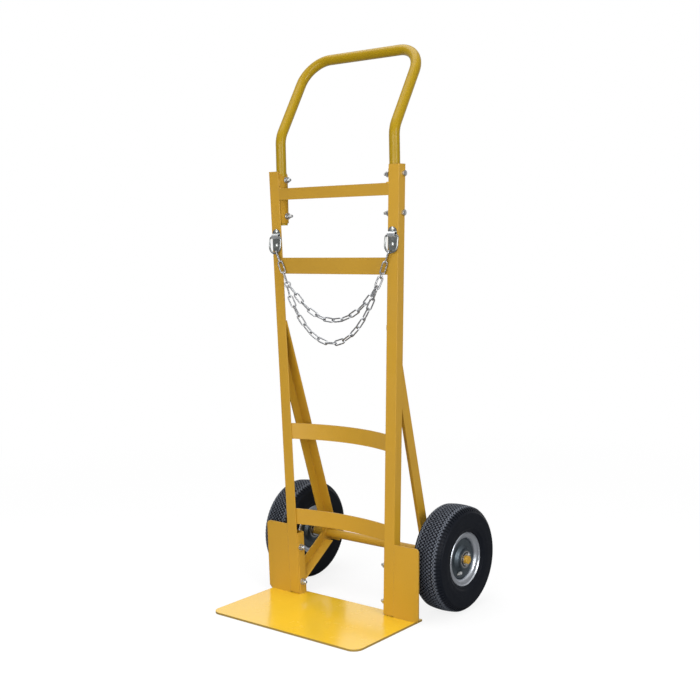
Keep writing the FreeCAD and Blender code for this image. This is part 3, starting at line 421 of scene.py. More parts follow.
# Both sides of each brace where the axle passes through it.
axle_seam = 0.0117
for across in (0.1628, 0.1666):
    circle = [(across, axle_middle.y + axle_seam * math.cos(turn), axle_middle.z + axle_seam * math.sin(turn))
              for turn in (math.radians(10 * i) for i in range(37))]
    runs.append((circle, 0.0014))

# Side plates, toe posts and handle sleeves.
for low, high in ((0.016, 0.052), (0.082, 0.120), (0.146, 0.176)):
    runs.append(upright_run(-0.0002, 0.0043, low, high, 0.0016))
toe_seam = 0.0055
for inner, outer in ((0.170, 0.200), (0.208, 0.235)):
    runs.append(level_run(inner, outer, 0.0044, toe_seam, 0.0016))
runs.append(level_run(0.136, 0.157, 0.0284, toe_seam, 0.0015))
runs.append(([(0.1334, front + back, toe_seam) for back in (0.006, 0.026)], 0.0015))
for low, high in ((0.957, 0.978), (1.043, 1.062)):
    runs.append(([(max(0.1712, front_edge(z) + 0.0004), front + 0.0040, z) for z in (low, high)], 0.0016))
runs += [([(-x, y, z) for x, y, z in run], size) for run, size in runs]

beads, given = new_tree("weld_beads", [
    ("Step", "Float", 0.0005), ("Ripple pitch", "Float", 0.0018), ("Ripple height", "Float", 0.16),
    ("End taper", "Float", 0.0035), ("Wander", "Float", 0.0005), ("Seed", "Float", 3.0),
    ("Material", "Material", None)])
seam = node(beads, "GeometryNodeMeshToCurve", {"Mesh": given["Geometry"]})
seam = node(beads, "GeometryNodeResampleCurve", {"Curve": seam, "Length": given["Step"]}, mode="LENGTH")
sway = node(beads, "ShaderNodeTexNoise", {"W": given["Seed"], "Scale": 160.0, "Detail": 2.0}, output=1,
            noise_dimensions="4D")
sway = node(beads, "ShaderNodeVectorMath", {0: sway, 1: (0.5, 0.5, 0.5)}, operation="SUBTRACT")
sway = node(beads, "ShaderNodeVectorMath", {0: sway, "Scale": given["Wander"]}, operation="SCALE")
seam = node(beads, "GeometryNodeSetPosition", {"Geometry": seam, "Offset": sway})
run_place = node(beads, "GeometryNodeSplineParameter", output=1)
run_left = maths(beads, "SUBTRACT", node(beads, "GeometryNodeSplineLength"), run_place)
nearest = maths(beads, "MINIMUM", run_place, run_left)
taper = node(beads, "ShaderNodeMapRange", {"Value": nearest, "From Max": given["End taper"], "To Min": 0.55},
             interpolation_type="SMOOTHSTEP")
wave = maths(beads, "MULTIPLY", run_place, 2 * math.pi)
wave = maths(beads, "DIVIDE", wave, given["Ripple pitch"])
wave = maths(beads, "MULTIPLY", maths(beads, "SINE", wave), given["Ripple height"])
size = node(beads, "GeometryNodeInputNamedAttribute", {"Name": "bead"}, data_type="FLOAT")
size = maths(beads, "MULTIPLY", size, maths(beads, "ADD", wave, 1.0))
size = maths(beads, "MULTIPLY", size, taper)
profile = node(beads, "GeometryNodeCurvePrimitiveCircle", {"Resolution": 9, "Radius": 1.0})
bead = node(beads, "GeometryNodeCurveToMesh", {"Curve": seam, "Profile Curve": profile, "Scale": size,
                                              "Fill Caps": True})
end_tree(beads, node(beads, "GeometryNodeSetShadeSmooth", {0: bead}), given["Material"])
piece = run_tree("weld_beads", mark_lines("weld_seams", runs), beads, {"Material": frame_paint})
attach(piece, "frame")


# Toe plate: 5 mm steel plate, in a glossier coat of the same enamel, painted brighter as painted light from
# above, with fine scuffs where bottles have been slid on and off it. Its upright edge faces are painted dark
# brown as painted shade.

painted_edge_shade = (0.16, 0.105, 0.03)
# A brighter copy of the frame enamel: the extra brightness is painted light falling on the plate from above.
toe_paint = enamel("toe_paint", (0.82, 0.505, 0.022), (0.79, 0.490, 0.022), 0.22, 0.04, 0.40)
tree = toe_paint.node_tree
shader = tree.nodes["Principled BSDF"]
place = object_place(tree)
across_scuffs = node(tree, "ShaderNodeMapping",
                     {"Vector": place, "Rotation": (0, 0, 0.35), "Scale": (18, 900, 60)})
along_scuffs = node(tree, "ShaderNodeMapping",
                    {"Vector": place, "Rotation": (0, 0, -0.6), "Scale": (22, 1100, 60)})
first = between(tree, noise(tree, across_scuffs, 1.0, 2.0), 0.66, 0.74, 0.0, 1.0)
second = between(tree, noise(tree, along_scuffs, 1.0, 2.0), 0.68, 0.76, 0.0, 1.0)
patches = between(tree, noise(tree, place, 14.0, 2.0), 0.45, 0.62, 0.0, 1.0)
scuffs = maths(tree, "MULTIPLY", maths(tree, "MAXIMUM", first, second), patches)
gloss = shader.inputs["Roughness"].links[0].from_socket
tree.links.new(maths(tree, "ADD", gloss, maths(tree, "MULTIPLY", scuffs, 0.16)), shader.inputs["Roughness"])
for socket_name, level in (("IOR", 1.5), ("Coat Weight", 0.75), ("Coat Roughness", 0.14), ("Coat IOR", 1.5)):
    shader.inputs[socket_name].default_value = level
# Faces that are not level, the plate's edges, are darkened towards brown: painted shade.
facing = tree.nodes.new("ShaderNodeSeparateXYZ")
tree.links.new(node(tree, "ShaderNodeNewGeometry", output=3), facing.inputs[0])
edge_shade_share = between(tree, maths(tree, "ABSOLUTE", facing.outputs[2]), 0.3, 0.6, 0.75, 0.0)
film = shader.inputs["Base Color"].links[0].from_socket
tree.links.new(mixed_colour(tree, edge_shade_share, film, painted_edge_shade), shader.inputs["Base Color"])
finish_nodes(["toe_plate"], toe_paint)


# Handle: one bent tube, 25.4 mm across. Each leg stands in a round sleeve that is welded behind its upright.
# The tube's enamel is more olive than the frame's and smoother. The sleeves wear a darker, duller copy of the
# frame enamel, as painted shade for the shadow they stand in.

handle_paint = enamel("handle_paint", (0.335, 0.212, 0.004), (0.317, 0.201, 0.004), 0.28, 0.03, 0.3)
handle_paint.node_tree.nodes["Principled BSDF"].inputs["IOR"].default_value = 1.31
finish_nodes(["handle_tube"], handle_paint)
# Sleeves: the frame enamel darkened by about a quarter, as painted shade.
shaded_socket_paint = enamel("shaded_socket_paint", (0.375, 0.200, 0.010), (0.352, 0.187, 0.010), 0.45, 0.05, 0.12)
shaded_socket_paint.node_tree.nodes["Principled BSDF"].inputs["IOR"].default_value = 1.22
finish_nodes(both("handle_socket"), shaded_socket_paint)


# Bolts, nuts and washers: M8 hexagon set in bright zinc plate. Each bolt has
# a chamfered head and a rolled thread on its last third.

def zinc(name, colour, roughness, tint, grain_scale):
    """Bright zinc plate over steel: fine crystal grain and a faint cast."""
    made, tree, shader = new_material(name, colour, roughness, 1.0)
    place = object_place(tree)
    cells = node(tree, "ShaderNodeTexVoronoi", {"Vector": place, "Scale": grain_scale}, output=1)
    grey = node(tree, "ShaderNodeRGBToBW", {0: cells})
    clouds = between(tree, noise(tree, place, 45.0, 3.0), 0.3, 0.7, 0.0, 1.0)
    tone = mixed_colour(tree, clouds, colour, tint)
    tone = toned(tree, tone, between(tree, grey, 0.2, 0.8, 0.92, 1.05))
    tree.links.new(tone, shader.inputs["Base Color"])
    gloss = between(tree, noise(tree, place, 90.0, 4.0, 0.6), 0.3, 0.7, roughness - 0.07, roughness + 0.12)
    tree.links.new(gloss, shader.inputs["Roughness"])
    height = noise(tree, place, 900.0, 3.0)
    normal = bumped(tree, height, 0.25, 0.0001, soft_normal(tree, 0.00025))
    tree.links.new(normal, shader.inputs["Normal"])
    return made


def islands(name):
    """Vertices of each separate solid in a node, one array for each."""
    work = bmesh.new()
    work.from_mesh(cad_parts[name].data)
    bmesh.ops.remove_doubles(work, verts=work.verts, dist=1e-6)
    seen = set()
    found = []
    for start in work.verts:
        if start in seen:
            continue
        group = []
        waiting = [start]
        seen.add(start)
        while waiting:
            vertex = waiting.pop()
            group.append(tuple(vertex.co))
            for edge in vertex.link_edges:
                other = edge.other_vert(vertex)
                if other not in seen:
                    seen.add(other)
                    waiting.append(other)
        found.append(np.array(group))
    work.free()
    return found


def main_axes(points):
    """Middle of the points' box along their own axes, and those axes, longest first."""
    centre = points.mean(0)
    axes = np.linalg.svd(points - centre, full_matrices=False)[2]
    spans = (points - centre) @ axes.T
    middle = centre + ((spans.min(0) + spans.max(0)) / 2) @ axes
    order = np.argsort(-(spans.max(0) - spans.min(0)))
    return middle, axes[order]


def mark_mesh(name, marks):
    """Points that carry where a copy's X and Z axes point."""
    mesh = bpy.data.meshes.new(name)
    mesh.from_pydata([tuple(m[0]) for m in marks], [], [])
    for key, column in (("along", 1), ("upright", 2)):
        values = mesh.attributes.new(key, "FLOAT_VECTOR", "POINT")
        for i, mark in enumerate(marks):
            values.data[i].vector = tuple(mark[column])
    return mesh


def end_on_marks(tree, given, pattern):
    """Last nodes of a tree that sets a copy of its pattern on each mark."""
    turn = node(tree, "FunctionNodeAxesToRotation", {
        0: node(tree, "GeometryNodeInputNamedAttribute", {"Name": "along"}, data_type="FLOAT_VECTOR"),
        1: node(tree, "GeometryNodeInputNamedAttribute", {"Name": "upright"}, data_type="FLOAT_VECTOR"),
    }, primary_axis="X", secondary_axis="Z")
    spots = node(tree, "GeometryNodeMeshToPoints", {"Mesh": given["Geometry"]})
    placed = node(tree, "GeometryNodeInstanceOnPoints",
                  {"Points": spots, "Instance": pattern, "Rotation": turn})
    end_tree(tree, placed, given["Material"])


copies, given = new_tree("copies_on_marks", [("Pattern", "Object", None), ("Material", "Material", None)])
end_on_marks(copies, given, node(copies, "GeometryNodeObjectInfo", {"Object": given["Pattern"]}, output=4))


def lathe(rings, sides, radius_at, closed_ends=True):
    """Mesh of rings along X; radius_at(ring, angle) gives (x, radius)."""
    work = bmesh.new()
    rows = []
    for ring in range(rings):
        row = []
        for side in range(sides):
            angle = 2 * math.pi * side / sides
            x, r = radius_at(ring, angle)
            row.append(work.verts.new((x, r * math.cos(angle), r * math.sin(angle))))
        rows.append(row)
    for low, high in zip(rows, rows[1:]):
        for side in range(sides):
            after = (side + 1) % sides
            work.faces.new((low[side], low[after], high[after], high[side]))
    if closed_ends:
        work.faces.new(rows[0])
        work.faces.new(rows[-1])
    else:
        for side in range(sides):
            after = (side + 1) % sides
            work.faces.new((rows[-1][side], rows[-1][after], rows[0][after], rows[0][side]))
    bmesh.ops.recalc_face_normals(work, faces=work.faces)
    return work


def pattern_object(name, work, sharp_degrees=35.0):
    """Object that a tree copies; edges sharper than the angle stay crisp."""
    for face in work.faces:
        face.smooth = True
    for edge in work.edges:
        edge.smooth = not (edge.is_manifold and edge.calc_face_angle() > math.radians(sharp_degrees))
    mesh = bpy.data.meshes.new(name)
    work.to_mesh(mesh)
    work.free()
    made = bpy.data.objects.new(name, mesh)
    bpy.context.collection.objects.link(made)
    return made


def hex_radius(angle, flats):
    """Distance from the middle of a hexagon to its edge at an angle."""
    sixth = math.pi / 3
    return flats / 2 / math.cos((angle + sixth / 2) % sixth - sixth / 2)


chamfer_share = 0.95
chamfer_angle = math.radians(30)
thread_depth = 0.61


def chamfered_hex(angle, flats, low, high, at_low, at_high):
    """Rings of a hexagon whose corners are turned down at one or both ends."""
    corner = hex_radius(angle, flats)
    seat = flats / 2 * chamfer_share
    drop = (corner - seat) * math.tan(chamfer_angle)
    rings = [(low, seat), (low + drop, corner)] if at_low else [(low, corner)]
    return rings + ([(high - drop, corner), (high, seat)] if at_high else [(high, corner)])


def bolt_pattern(name, flats, head, radius, length, thread, pitch):
    """Bolt with its head towards +X and the seat at the middle."""
    core = radius - thread_depth * pitch
    steps = 4
    rows = int(thread / pitch * steps)

    def at(ring, angle):
        if ring < rows:
            x = -length + thread * ring / rows
            tip = min(1.0, (x + length) / pitch)
            phase = (ring / steps - angle / (2 * math.pi)) % 1.0
            crest = 1 - abs(2 * phase - 1)
            return x, core + (radius - core) * crest * tip
        if ring == rows:
            return -length + thread + pitch / 4, radius
        if ring == rows + 1:
            return 0.0, radius
        hexed = [(0.0, hex_radius(angle, flats))] + chamfered_hex(angle, flats, 0.0, head, False, True)[1:]
        return hexed[ring - rows - 2]

    return pattern_object(name, lathe(rows + 5, 24, at))


def nut_pattern(name, flats, height, bore):
    """Nut along X about its own middle."""
    top = height / 2
    mouth = 0.0004

    def at(ring, angle):
        rings = chamfered_hex(angle, flats, -top, top, True, True)
        rings = [(mouth - top, bore), (-top, bore + mouth)] + rings
        rings += [(top, bore + mouth), (top - mouth, bore)]
        return rings[ring]

    return pattern_object(name, lathe(8, 36, at, closed_ends=False))


def bolt_marks(name, head):
    """Seat, direction to the head and direction to a corner, for each bolt."""
    marks = []
    for points in islands(name):
        middle, axes = main_axes(points)
        along = axes[0]
        spans = (points - middle) @ along
        away = (points - middle) - np.outer(spans, along)
        reach = np.linalg.norm(away, axis=1)
        far = int(reach.argmax())
        if spans[far] < 0:
            along = -along
            spans = -spans
        marks.append((middle + along * (spans.max() - head), along, away[far] / reach[far]))
    return marks


def nut_marks(name):
    """Middle, direction of the bore and direction to a corner, for each nut."""
    marks = []
    for points in islands(name):
        middle, axes = main_axes(points)
        along = axes[2]
        away = (points - middle) - np.outer((points - middle) @ along, along)
        far = int(np.linalg.norm(away, axis=1).argmax())
        marks.append((middle, along, away[far] / np.linalg.norm(away[far])))
    return marks


fixing_zinc = zinc("fixing_zinc", (0.62, 0.62, 0.60), 0.26, (0.58, 0.60, 0.63), 700.0)
m8_flats = 0.013
m8_head = 0.0053
m8_radius = 0.004
m8_pitch = 0.00125
m8_thread = 0.020
nut_height = 0.0065
nut_bore = 0.00405
for name, length in (("handle_bolts", 0.055), ("toe_bolts", 0.045)):
    source = bolt_pattern(name + "_pattern", m8_flats, m8_head, m8_radius, length, m8_thread, m8_pitch)
    piece = run_tree(name + "_detailed", mark_mesh(name + "_marks", bolt_marks(name, m8_head)), copies,
                     {"Pattern": source, "Material": fixing_zinc})
    bpy.data.objects.remove(source)
    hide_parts(name)
    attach(piece, "frame")
source = nut_pattern("nut_pattern", m8_flats, nut_height, nut_bore)
piece = run_tree("bolt_nuts_detailed", mark_mesh("nut_marks", nut_marks("bolt_nuts")), copies,
                 {"Pattern": source, "Material": fixing_zinc})
bpy.data.objects.remove(source)
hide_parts("bolt_nuts")
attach(piece, "frame")
finish_nodes(["bolt_washers", "handle_spacers", "toe_spacers", "axle_washers"], fixing_zinc)


# Split pins: one length of soft zinc-plated wire each, folded back on itself
# with an eye at the fold, and its two ends spread behind the axle.

pin_wire = 0.00078
pin_legs = ((0.0015, 0.0050), (0.0040, 0.0032), (0.0062, 0.0016), (0.0082, pin_wire))
runs = []
for points in islands("split_pins"):
    middle, axes = main_axes(points)
    along, aside = axes[0], axes[1]
    spans = (points - middle) @ along
    reach = np.abs((points - middle) @ aside)
    if spans[int(reach.argmax())] < 0:
        along = -along
        spans = -spans
    eye = reach.max() - pin_wire
    eye_place = spans.max() - reach.max()
    leg = [(spans.min() + ahead, spread) for ahead, spread in pin_legs]
    leg.append((eye_place - 1.3 * eye, pin_wire))
    loop = [(eye_place + eye * math.cos(turn), eye * math.sin(turn))
            for turn in (math.radians(15 * i) for i in range(-11, 12))]
    path = [(a, -b) for a, b in leg] + loop + leg[::-1]
    runs.append(([tuple(middle + along * a + aside * b) for a, b in path], pin_wire))
piece = run_tree("split_pins_folded", mark_lines("pin_wires", runs), beads,
                 {"Ripple height": 0.0, "Wander": 0.0, "End taper": 0.0001, "Material": fixing_zinc})
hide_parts("split_pins")
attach(piece, "frame")


# Wheels: a rim and two dished discs pressed from sheet and dull zinc plated,
# welded round a turned hub that holds two sealed ball bearings.

def turned_sheet(name, colour, deep, roughness):
    """Pressed and rolled sheet: rings of the tool round the axle, dull zinc."""
    made, tree, shader = new_material(name, colour, roughness, 1.0)
    place = object_place(tree)
    centred = node(tree, "ShaderNodeMapping",
                   {"Vector": place, "Location": (0, -axle_middle.y, -axle_middle.z)})
    split = tree.nodes.new("ShaderNodeSeparateXYZ")
    tree.links.new(centred, split.inputs[0])
    square = maths(tree, "ADD", maths(tree, "MULTIPLY", split.outputs[1], split.outputs[1]),
                   maths(tree, "MULTIPLY", split.outputs[2], split.outputs[2]))
    radius = maths(tree, "SQRT", square)
    turn = maths(tree, "ARCTAN2", split.outputs[1], split.outputs[2])
    along = maths(tree, "MULTIPLY", turn, 0.0008)
    rings = node(tree, "ShaderNodeCombineXYZ", {0: split.outputs[0], 1: radius, 2: along})
    tool = noise(tree, rings, 900.0, 3.0)
    clouds = between(tree, noise(tree, place, 32.0, 4.0, 0.6), 0.32, 0.68, 0.0, 1.0)
    tone = mixed_colour(tree, clouds, colour, deep)
    tone = toned(tree, tone, between(tree, tool, 0.3, 0.7, 0.9, 1.06))
    tree.links.new(tone, shader.inputs["Base Color"])
    gloss = between(tree, noise(tree, place, 70.0, 4.0), 0.3, 0.7, roughness - 0.06, roughness + 0.1)
    tree.links.new(gloss, shader.inputs["Roughness"])
    normal = bumped(tree, tool, 0.12, 0.0003, soft_normal(tree, 0.0004))
    normal = bumped(tree, noise(tree, place, 260.0, 3.0), 0.12, 0.0005, normal)
    tree.links.new(normal, shader.inputs["Normal"])
    return made


rim_zinc = turned_sheet("rim_zinc", (0.58, 0.61, 0.66), (0.50, 0.53, 0.58), 0.33)
disc_zinc = turned_sheet("disc_zinc", (0.125, 0.15, 0.17), (0.095, 0.118, 0.137), 0.40)
bearing_steel = zinc("bearing_steel", (0.42, 0.43, 0.44), 0.28, (0.38, 0.39, 0.40), 1500.0)


dust_grey = (0.05, 0.052, 0.056)
rubbed_and_highlit_grey = (0.100, 0.111, 0.134)


def rubber(name, colour, roughness, dust, grain, rubbed_and_highlit):
    """Moulded rubber: fine mould grain, a little dust, greyer on its crests, partly rubbed and partly a
    painted highlight.
    """
    made, tree, shader = new_material(name, colour, roughness)
    shader.inputs["IOR"].default_value = 1.20
    place = object_place(tree)
    clouds = between(tree, noise(tree, place, 28.0, 5.0, 0.65), 0.45, 0.75, 0.0, dust)
    film = mixed_colour(tree, clouds, colour, dust_grey)
    crest = node(tree, "ShaderNodeAttribute", output=2, attribute_name="crest")
    film = mixed_colour(tree, maths(tree, "MULTIPLY", crest, rubbed_and_highlit), film, rubbed_and_highlit_grey)
    tree.links.new(film, shader.inputs["Base Color"])
    gloss = between(tree, noise(tree, place, 55.0, 4.0), 0.3, 0.7, roughness - 0.08, roughness + 0.1)
    tree.links.new(gloss, shader.inputs["Roughness"])
    normal = bumped(tree, noise(tree, place, grain, 3.0), 0.3, 0.0003, soft_normal(tree, 0.0003))
    tree.links.new(normal, shader.inputs["Normal"])
    return made


seal_rubber = rubber("seal_rubber", (0.012, 0.012, 0.013), 0.45, 0.1, 1200.0, 0.0)
finish_nodes(both("rim"), rim_zinc)
finish_nodes(both("wheel_discs") + both("hub"), disc_zinc)
finish_nodes(both("bearing_outer_races") + both("bearing_balls") + ["bearing_inner_races"], bearing_steel)
finish_nodes(both("bearing_seals") + both("inner_tube"), seal_rubber)


# Tyres: 260 mm pneumatic tyres of moulded black rubber, with grooves round the crown, ribs cut into small
# blocks and long teeth round each shoulder. Their beads are pressed under the rim's lips. The block tops are
# painted a paler grey, partly rubbed and partly a painted highlight, palest on the rib edges.

tyre_rubber = rubber("tyre_rubber", (0.0042, 0.0056, 0.0092), 0.44, 0.05, 500.0, 1.0)


def arc_points(a, b, c, count):
    """Points on the circle through three (across, radius) points, ends included."""
    ax, ay = a
    bx, by = b
    cx, cy = c
    d = 2 * (ax * (by - cy) + bx * (cy - ay) + cx * (ay - by))
    aa, bb, cc = (ax * ax + ay * ay, bx * bx + by * by, cx * cx + cy * cy)
    ux = (aa * (by - cy) + bb * (cy - ay) + cc * (ay - by)) / d
    uy = (aa * (cx - bx) + bb * (ax - cx) + cc * (bx - ax)) / d
    radius = math.hypot(ax - ux, ay - uy)
    start = math.atan2(ay - uy, ax - ux)
    middle = math.atan2(by - uy, bx - ux)
    end = math.atan2(cy - uy, cx - ux)
    ahead = (middle - start) % (2 * math.pi)
    sweep = (end - start) % (2 * math.pi)
    if ahead > sweep:
        sweep -= 2 * math.pi
    return [(ux + radius * math.cos(start + sweep * i / (count - 1)),
             uy + radius * math.sin(start + sweep * i / (count - 1))) for i in range(count)]


# One tooth of the tread, in millimetres: rows go from bead to bead over the
# crown and back inside. A row is (across, radius, groove depth, zigzag, and the
# depths of three kinds of slot). The walls have every third column only.
tooth_count = 88
tyre_radius = 129.985
crown_half = 28.0
crown_drop = 2.2
columns = (0.0, 0.03, 0.22, 0.25, 0.28, 0.47, 0.5, 0.53, 0.72, 0.75, 0.78, 0.97)
near_slots = (1, 2, 3, 4, 5)
far_slots = (7, 8, 9, 10, 11)
shoulder_slots = near_slots
zigzag = 0.9
groove = 2.6
serration = 1.9
slot_lean = 0.7
widest = (41.0, 96.0)
wall_middle = (39.7, 81.0)
wall_foot = (32.95, 66.1)
bead_face = 29.45
heel_radius = 8.3
heel_height = 59.35
bead_toe = 18.5


def crown_radius(across):
    return tyre_radius - crown_drop * (across / crown_half) ** 2


half = []
for across, depth, sway, near, far in (
    (0.0, 0, 0, 1, 0), (2.55, 0, 0, 1, 0), (2.75, 0, 0, 0, 1), (5.3, 0, 1, 0, 1), (5.9, groove, 1, 0, 0),
    (8.1, groove, 1, 0, 0), (8.7, 0, 1, 1, 0), (12.9, 0, 0, 1, 0), (13.1, 0, 0, 0, 1), (17.3, 0, -1, 0, 1),
    (17.9, groove, -1, 0, 0), (20.1, groove, -1, 0, 0), (20.7, 0, -1, 1, 0), (23.8, 0, 0, 1, 0),
    (24.0, 0, 0, 0, 1), (26.8, 0, 0, 0, 1), (27.1, 0, 0, 0, 0), (27.6, 0, 0, 0, 0),
):
    half.append((across, crown_radius(across), depth, sway, near * serration, far * serration, 0))
shoulder = arc_points((crown_half, 127.8), (36.8, 120.4), widest, 40)
for index, slot in ((0, 2.3), (3, 2.5), (6, 2.5), (9, 2.4), (12, 2.1), (15, 1.6), (16, 0), (17, 0)):
    half.append((*shoulder[index], 0, 0, 0, 0, slot))
fine_rows = len(half)
for index, lift in ((19, 0), (20, 0.5), (21, 0.5), (22, 0), (26, 0), (31, 0), (35, 0), (39, 0)):
    across, radius = shoulder[index]
    half.append((min(widest[0], across + lift), radius, 0, 0, 0, 0, 0))
side = arc_points(widest, wall_middle, wall_foot, 17)
for index, lift in (
    (2, 0), (5, 0), (8, 0), (9, 0.7), (11, 0.7), (12, 0), (13, 0), (14, 0.8), (15, 0.8), (16, 0),
):
    across, radius = side[index]
    half.append((across + lift, radius, 0, 0, 0, 0, 0))
heel = [(bead_face - heel_radius * (1 - math.cos(turn)), heel_height - heel_radius * math.sin(turn))
        for turn in (math.radians(degrees) for degrees in (0, 22, 45, 68, 90))]
inside = (arc_points((bead_toe, 58.0), (34.7, 81.0), (36.0, 96.0), 6)
          + arc_points((36.0, 96.0), (29.3, 114.5), (0.0, 121.0), 8)[1:])
for across, radius in [(bead_face, 63.1)] + heel + [(bead_toe, heel_height - heel_radius)] + inside:
    half.append((across, radius, 0, 0, 0, 0, 0))
rows = half + [(-row[0], *row[1:]) for row in reversed(half[1:-1])]
fine = [abs(i if i < len(half) else i - len(rows)) < fine_rows for i in range(len(rows))]


def tread_point(row, column):
    """Place of one vertex of the tooth in metres, and how pale its crest is painted: rubbed wear and a
    painted highlight, most on rib edges.
    """
    across, radius, depth, swing, near, far, slot = row
    wrapped = column % len(columns)
    share = columns[wrapped] + column // len(columns)
    side_sign = -1.0 if across < 0 else 1.0
    for cut, places in ((near, near_slots), (far, far_slots), (slot, shoulder_slots)):
        if wrapped in places:
            depth = max(depth, cut)
    steep = abs(across) > crown_half - 0.5
    sidewards, inwards = (slot_lean, slot_lean) if steep else (0.0, 1.0)
    sway = zigzag * (1 - 4 * abs(columns[wrapped] - 0.5))
    x = (across + side_sign * (swing * sway - depth * sidewards)) / 1000
    r = (radius - depth * inwards) / 1000
    angle = 2 * math.pi * share / tooth_count
    # Block tops are painted paler, rib edges most: partly wear, partly a painted highlight.
    rib_edge = swing != 0 or 127.2 < radius < 128.4
    crest = 0.0 if depth > 0 or radius < 126.0 else 1.0 if rib_edge else 0.45
    return (x, r * math.sin(angle), r * math.cos(angle)), crest


work = bmesh.new()
crests = work.verts.layers.float.new("crest")
lines = []
for row, full in zip(rows, fine):
    line = []
    for column in range(0, len(columns) + 1, 1 if full else 3):
        spot, crest = tread_point(row, column)
        vertex = work.verts.new(spot)
        vertex[crests] = crest
        line.append(vertex)
    lines.append(line)
for index, line in enumerate(lines):
    after = lines[(index + 1) % len(lines)]
    if len(line) == len(after):
        for i in range(len(line) - 1):
            work.faces.new((line[i], line[i + 1], after[i + 1], after[i]))
    else:
        many, few = (line, after) if len(line) > len(after) else (after, line)
        for i in range(len(few) - 1):
            work.faces.new([few[i], few[i + 1]] + many[3 * i:3 * i + 4][::-1])
bmesh.ops.recalc_face_normals(work, faces=work.faces)
top = max(work.faces, key=lambda f: f.calc_center_median().z)
if top.normal.z < 0:
    bmesh.ops.reverse_faces(work, faces=work.faces)
tooth = pattern_object("tread_tooth", work, 30.0)

treads, given = new_tree("teeth_round_axle", [
    ("Teeth", "Int", tooth_count), ("Pattern", "Object", None), ("Place", "Vector", None),
    ("Material", "Material", None)])
pattern = node(treads, "GeometryNodeObjectInfo", {"Object": given["Pattern"]}, output=4)
spots = node(treads, "GeometryNodePoints", {"Count": given["Teeth"]})
step = maths(treads, "DIVIDE", 2 * math.pi, given["Teeth"])
step = maths(treads, "MULTIPLY", step, node(treads, "GeometryNodeInputIndex"))
turn = node(treads, "ShaderNodeCombineXYZ", {0: step})
turn = node(treads, "FunctionNodeEulerToRotation", {0: turn})
ring = node(treads, "GeometryNodeInstanceOnPoints", {"Points": spots, "Instance": pattern, "Rotation": turn})
ring = node(treads, "GeometryNodeRealizeInstances", {0: ring})
ring = node(treads, "GeometryNodeMergeByDistance", {"Geometry": ring, "Distance": 1e-6})
ring = node(treads, "GeometryNodeTransform", {"Geometry": ring, "Translation": given["Place"]})
end_tree(treads, ring, given["Material"])
for side_name in ("left", "right"):
    low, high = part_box(side_name + "_tyre")
    piece = run_tree(side_name + "_tyre_treaded", bpy.data.meshes.new("empty"), treads,
                     {"Teeth": tooth_count, "Pattern": tooth, "Place": tuple((low + high) / 2),
                      "Material": tyre_rubber})
    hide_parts(side_name + "_tyre")
    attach(piece, side_name + "_wheel")
bpy.data.objects.remove(tooth)


# Valves: nickel-plated stems that bend out of the rim, each with a moulded
# grey dust cap.

valve_metal = zinc("valve_metal", (0.66, 0.63, 0.56), 0.22, (0.62, 0.60, 0.55), 1200.0)
cap_plastic, tree, shader = new_material("cap_plastic", (0.36, 0.37, 0.37), 0.4)
place = object_place(tree)
tree.links.new(between(tree, noise(tree, place, 240.0, 3.0), 0.3, 0.7, 0.32, 0.5), shader.inputs["Roughness"])
tree.links.new(bumped(tree, noise(tree, place, 1500.0, 2.0), 0.2, 0.0001), shader.inputs["Normal"])
finish_nodes(both("valve_stem"), valve_metal)
finish_nodes(both("valve_cap"), cap_plastic)


# Chain anchors: zinc-plated plates with a pressed saddle, fixed by two dome headed screws through each
# upright. The saddles are painted near white as a painted highlight, and the flat plates a dark grey as
# painted shade.

# Saddles: a far paler copy of the plate's zinc, as a painted highlight.
highlit_saddle_zinc = zinc("highlit_saddle_zinc", (0.86, 0.89, 0.90), 0.30, (0.80, 0.83, 0.85), 420.0)
screw_zinc = zinc("screw_zinc", (0.58, 0.60, 0.58), 0.26, (0.52, 0.54, 0.53), 420.0)
# Plates: a darker copy of the same zinc, painted shade.
shaded_plate_zinc = zinc("shaded_plate_zinc", (0.37, 0.395, 0.385), 0.28, (0.32, 0.34, 0.335), 420.0)
finish_nodes(["anchor_saddles"], highlit_saddle_zinc)
finish_nodes(["anchor_screws", "anchor_nuts"], screw_zinc)
finish_nodes(["anchor_plates"], shaded_plate_zinc)


# Chain: long links of 3.5 mm round wire, butt welded on one side and zinc
# plated. Two strands hang between two joining rings, each on a short lead from
# the ring in its anchor.

chain_zinc = zinc("chain_zinc", (0.44, 0.45, 0.465), 0.25, (0.40, 0.41, 0.43), 900.0)
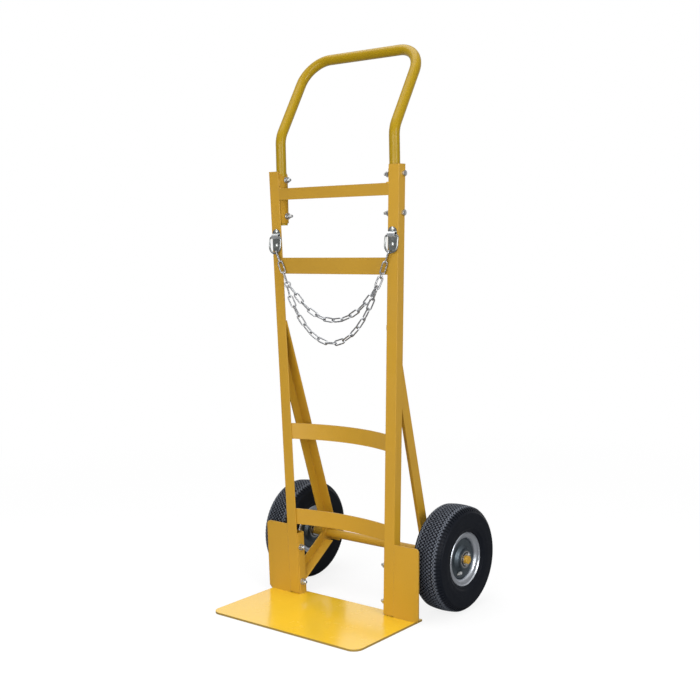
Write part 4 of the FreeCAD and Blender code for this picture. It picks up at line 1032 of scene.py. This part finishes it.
# Anchor rings: a darker copy of the chain's zinc, as painted shade.
shaded_ring_zinc = zinc("shaded_ring_zinc", (0.30, 0.31, 0.30), 0.28, (0.26, 0.27, 0.27), 900.0)
finish_nodes(["chain_joining_rings"], chain_zinc)
finish_nodes(["anchor_rings"], shaded_ring_zinc)

links, given = new_tree("welded_links", [
    ("Link length", "Float", 0.0315), ("Link width", "Float", 0.011), ("Wire radius", "Float", 0.00175),
    ("Weld swell", "Float", 0.16), ("Material", "Material", None)])
outline = node(links, "GeometryNodeCurvePrimitiveQuadrilateral",
               {"Width": given["Link length"], "Height": given["Link width"]})
bend = maths(links, "MULTIPLY", given["Link width"], 0.4999)
outline = node(links, "GeometryNodeFilletCurve", {"Curve": outline, "Count": 8, "Radius": bend}, mode="POLY")
outline = node(links, "GeometryNodeResampleCurve", {"Curve": outline, "Count": 56})
spot = node(links, "GeometryNodeInputPosition")
weld_place = node(links, "ShaderNodeCombineXYZ", {1: maths(links, "MULTIPLY", given["Link width"], 0.5)})
away = node(links, "ShaderNodeVectorMath", {0: spot, 1: weld_place}, output=1, operation="DISTANCE")
near = node(links, "ShaderNodeMapRange",
            {"Value": away, "From Min": 0.0008, "From Max": 0.0024,
             "To Min": given["Weld swell"], "To Max": 0.0},
            interpolation_type="SMOOTHSTEP")
thick = maths(links, "ADD", near, 1.0)
wire = node(links, "GeometryNodeCurvePrimitiveCircle", {"Resolution": 14, "Radius": given["Wire radius"]})
body = node(links, "GeometryNodeCurveToMesh", {"Curve": outline, "Profile Curve": wire, "Scale": thick})
end_on_marks(links, given, node(links, "GeometryNodeSetShadeSmooth", {0: body}))

for name in ("left_chain_lead", "right_chain_lead", "lower_chain_strand", "upper_chain_strand"):
    marks = []
    for points in islands(name):
        middle, axes = main_axes(points)
        marks.append((middle, axes[0], axes[2]))
    piece = run_tree(name + "_welded", mark_mesh(name + "_marks", marks), links, {"Material": chain_zinc})
    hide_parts(name)
    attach(piece, "chain")

low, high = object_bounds()
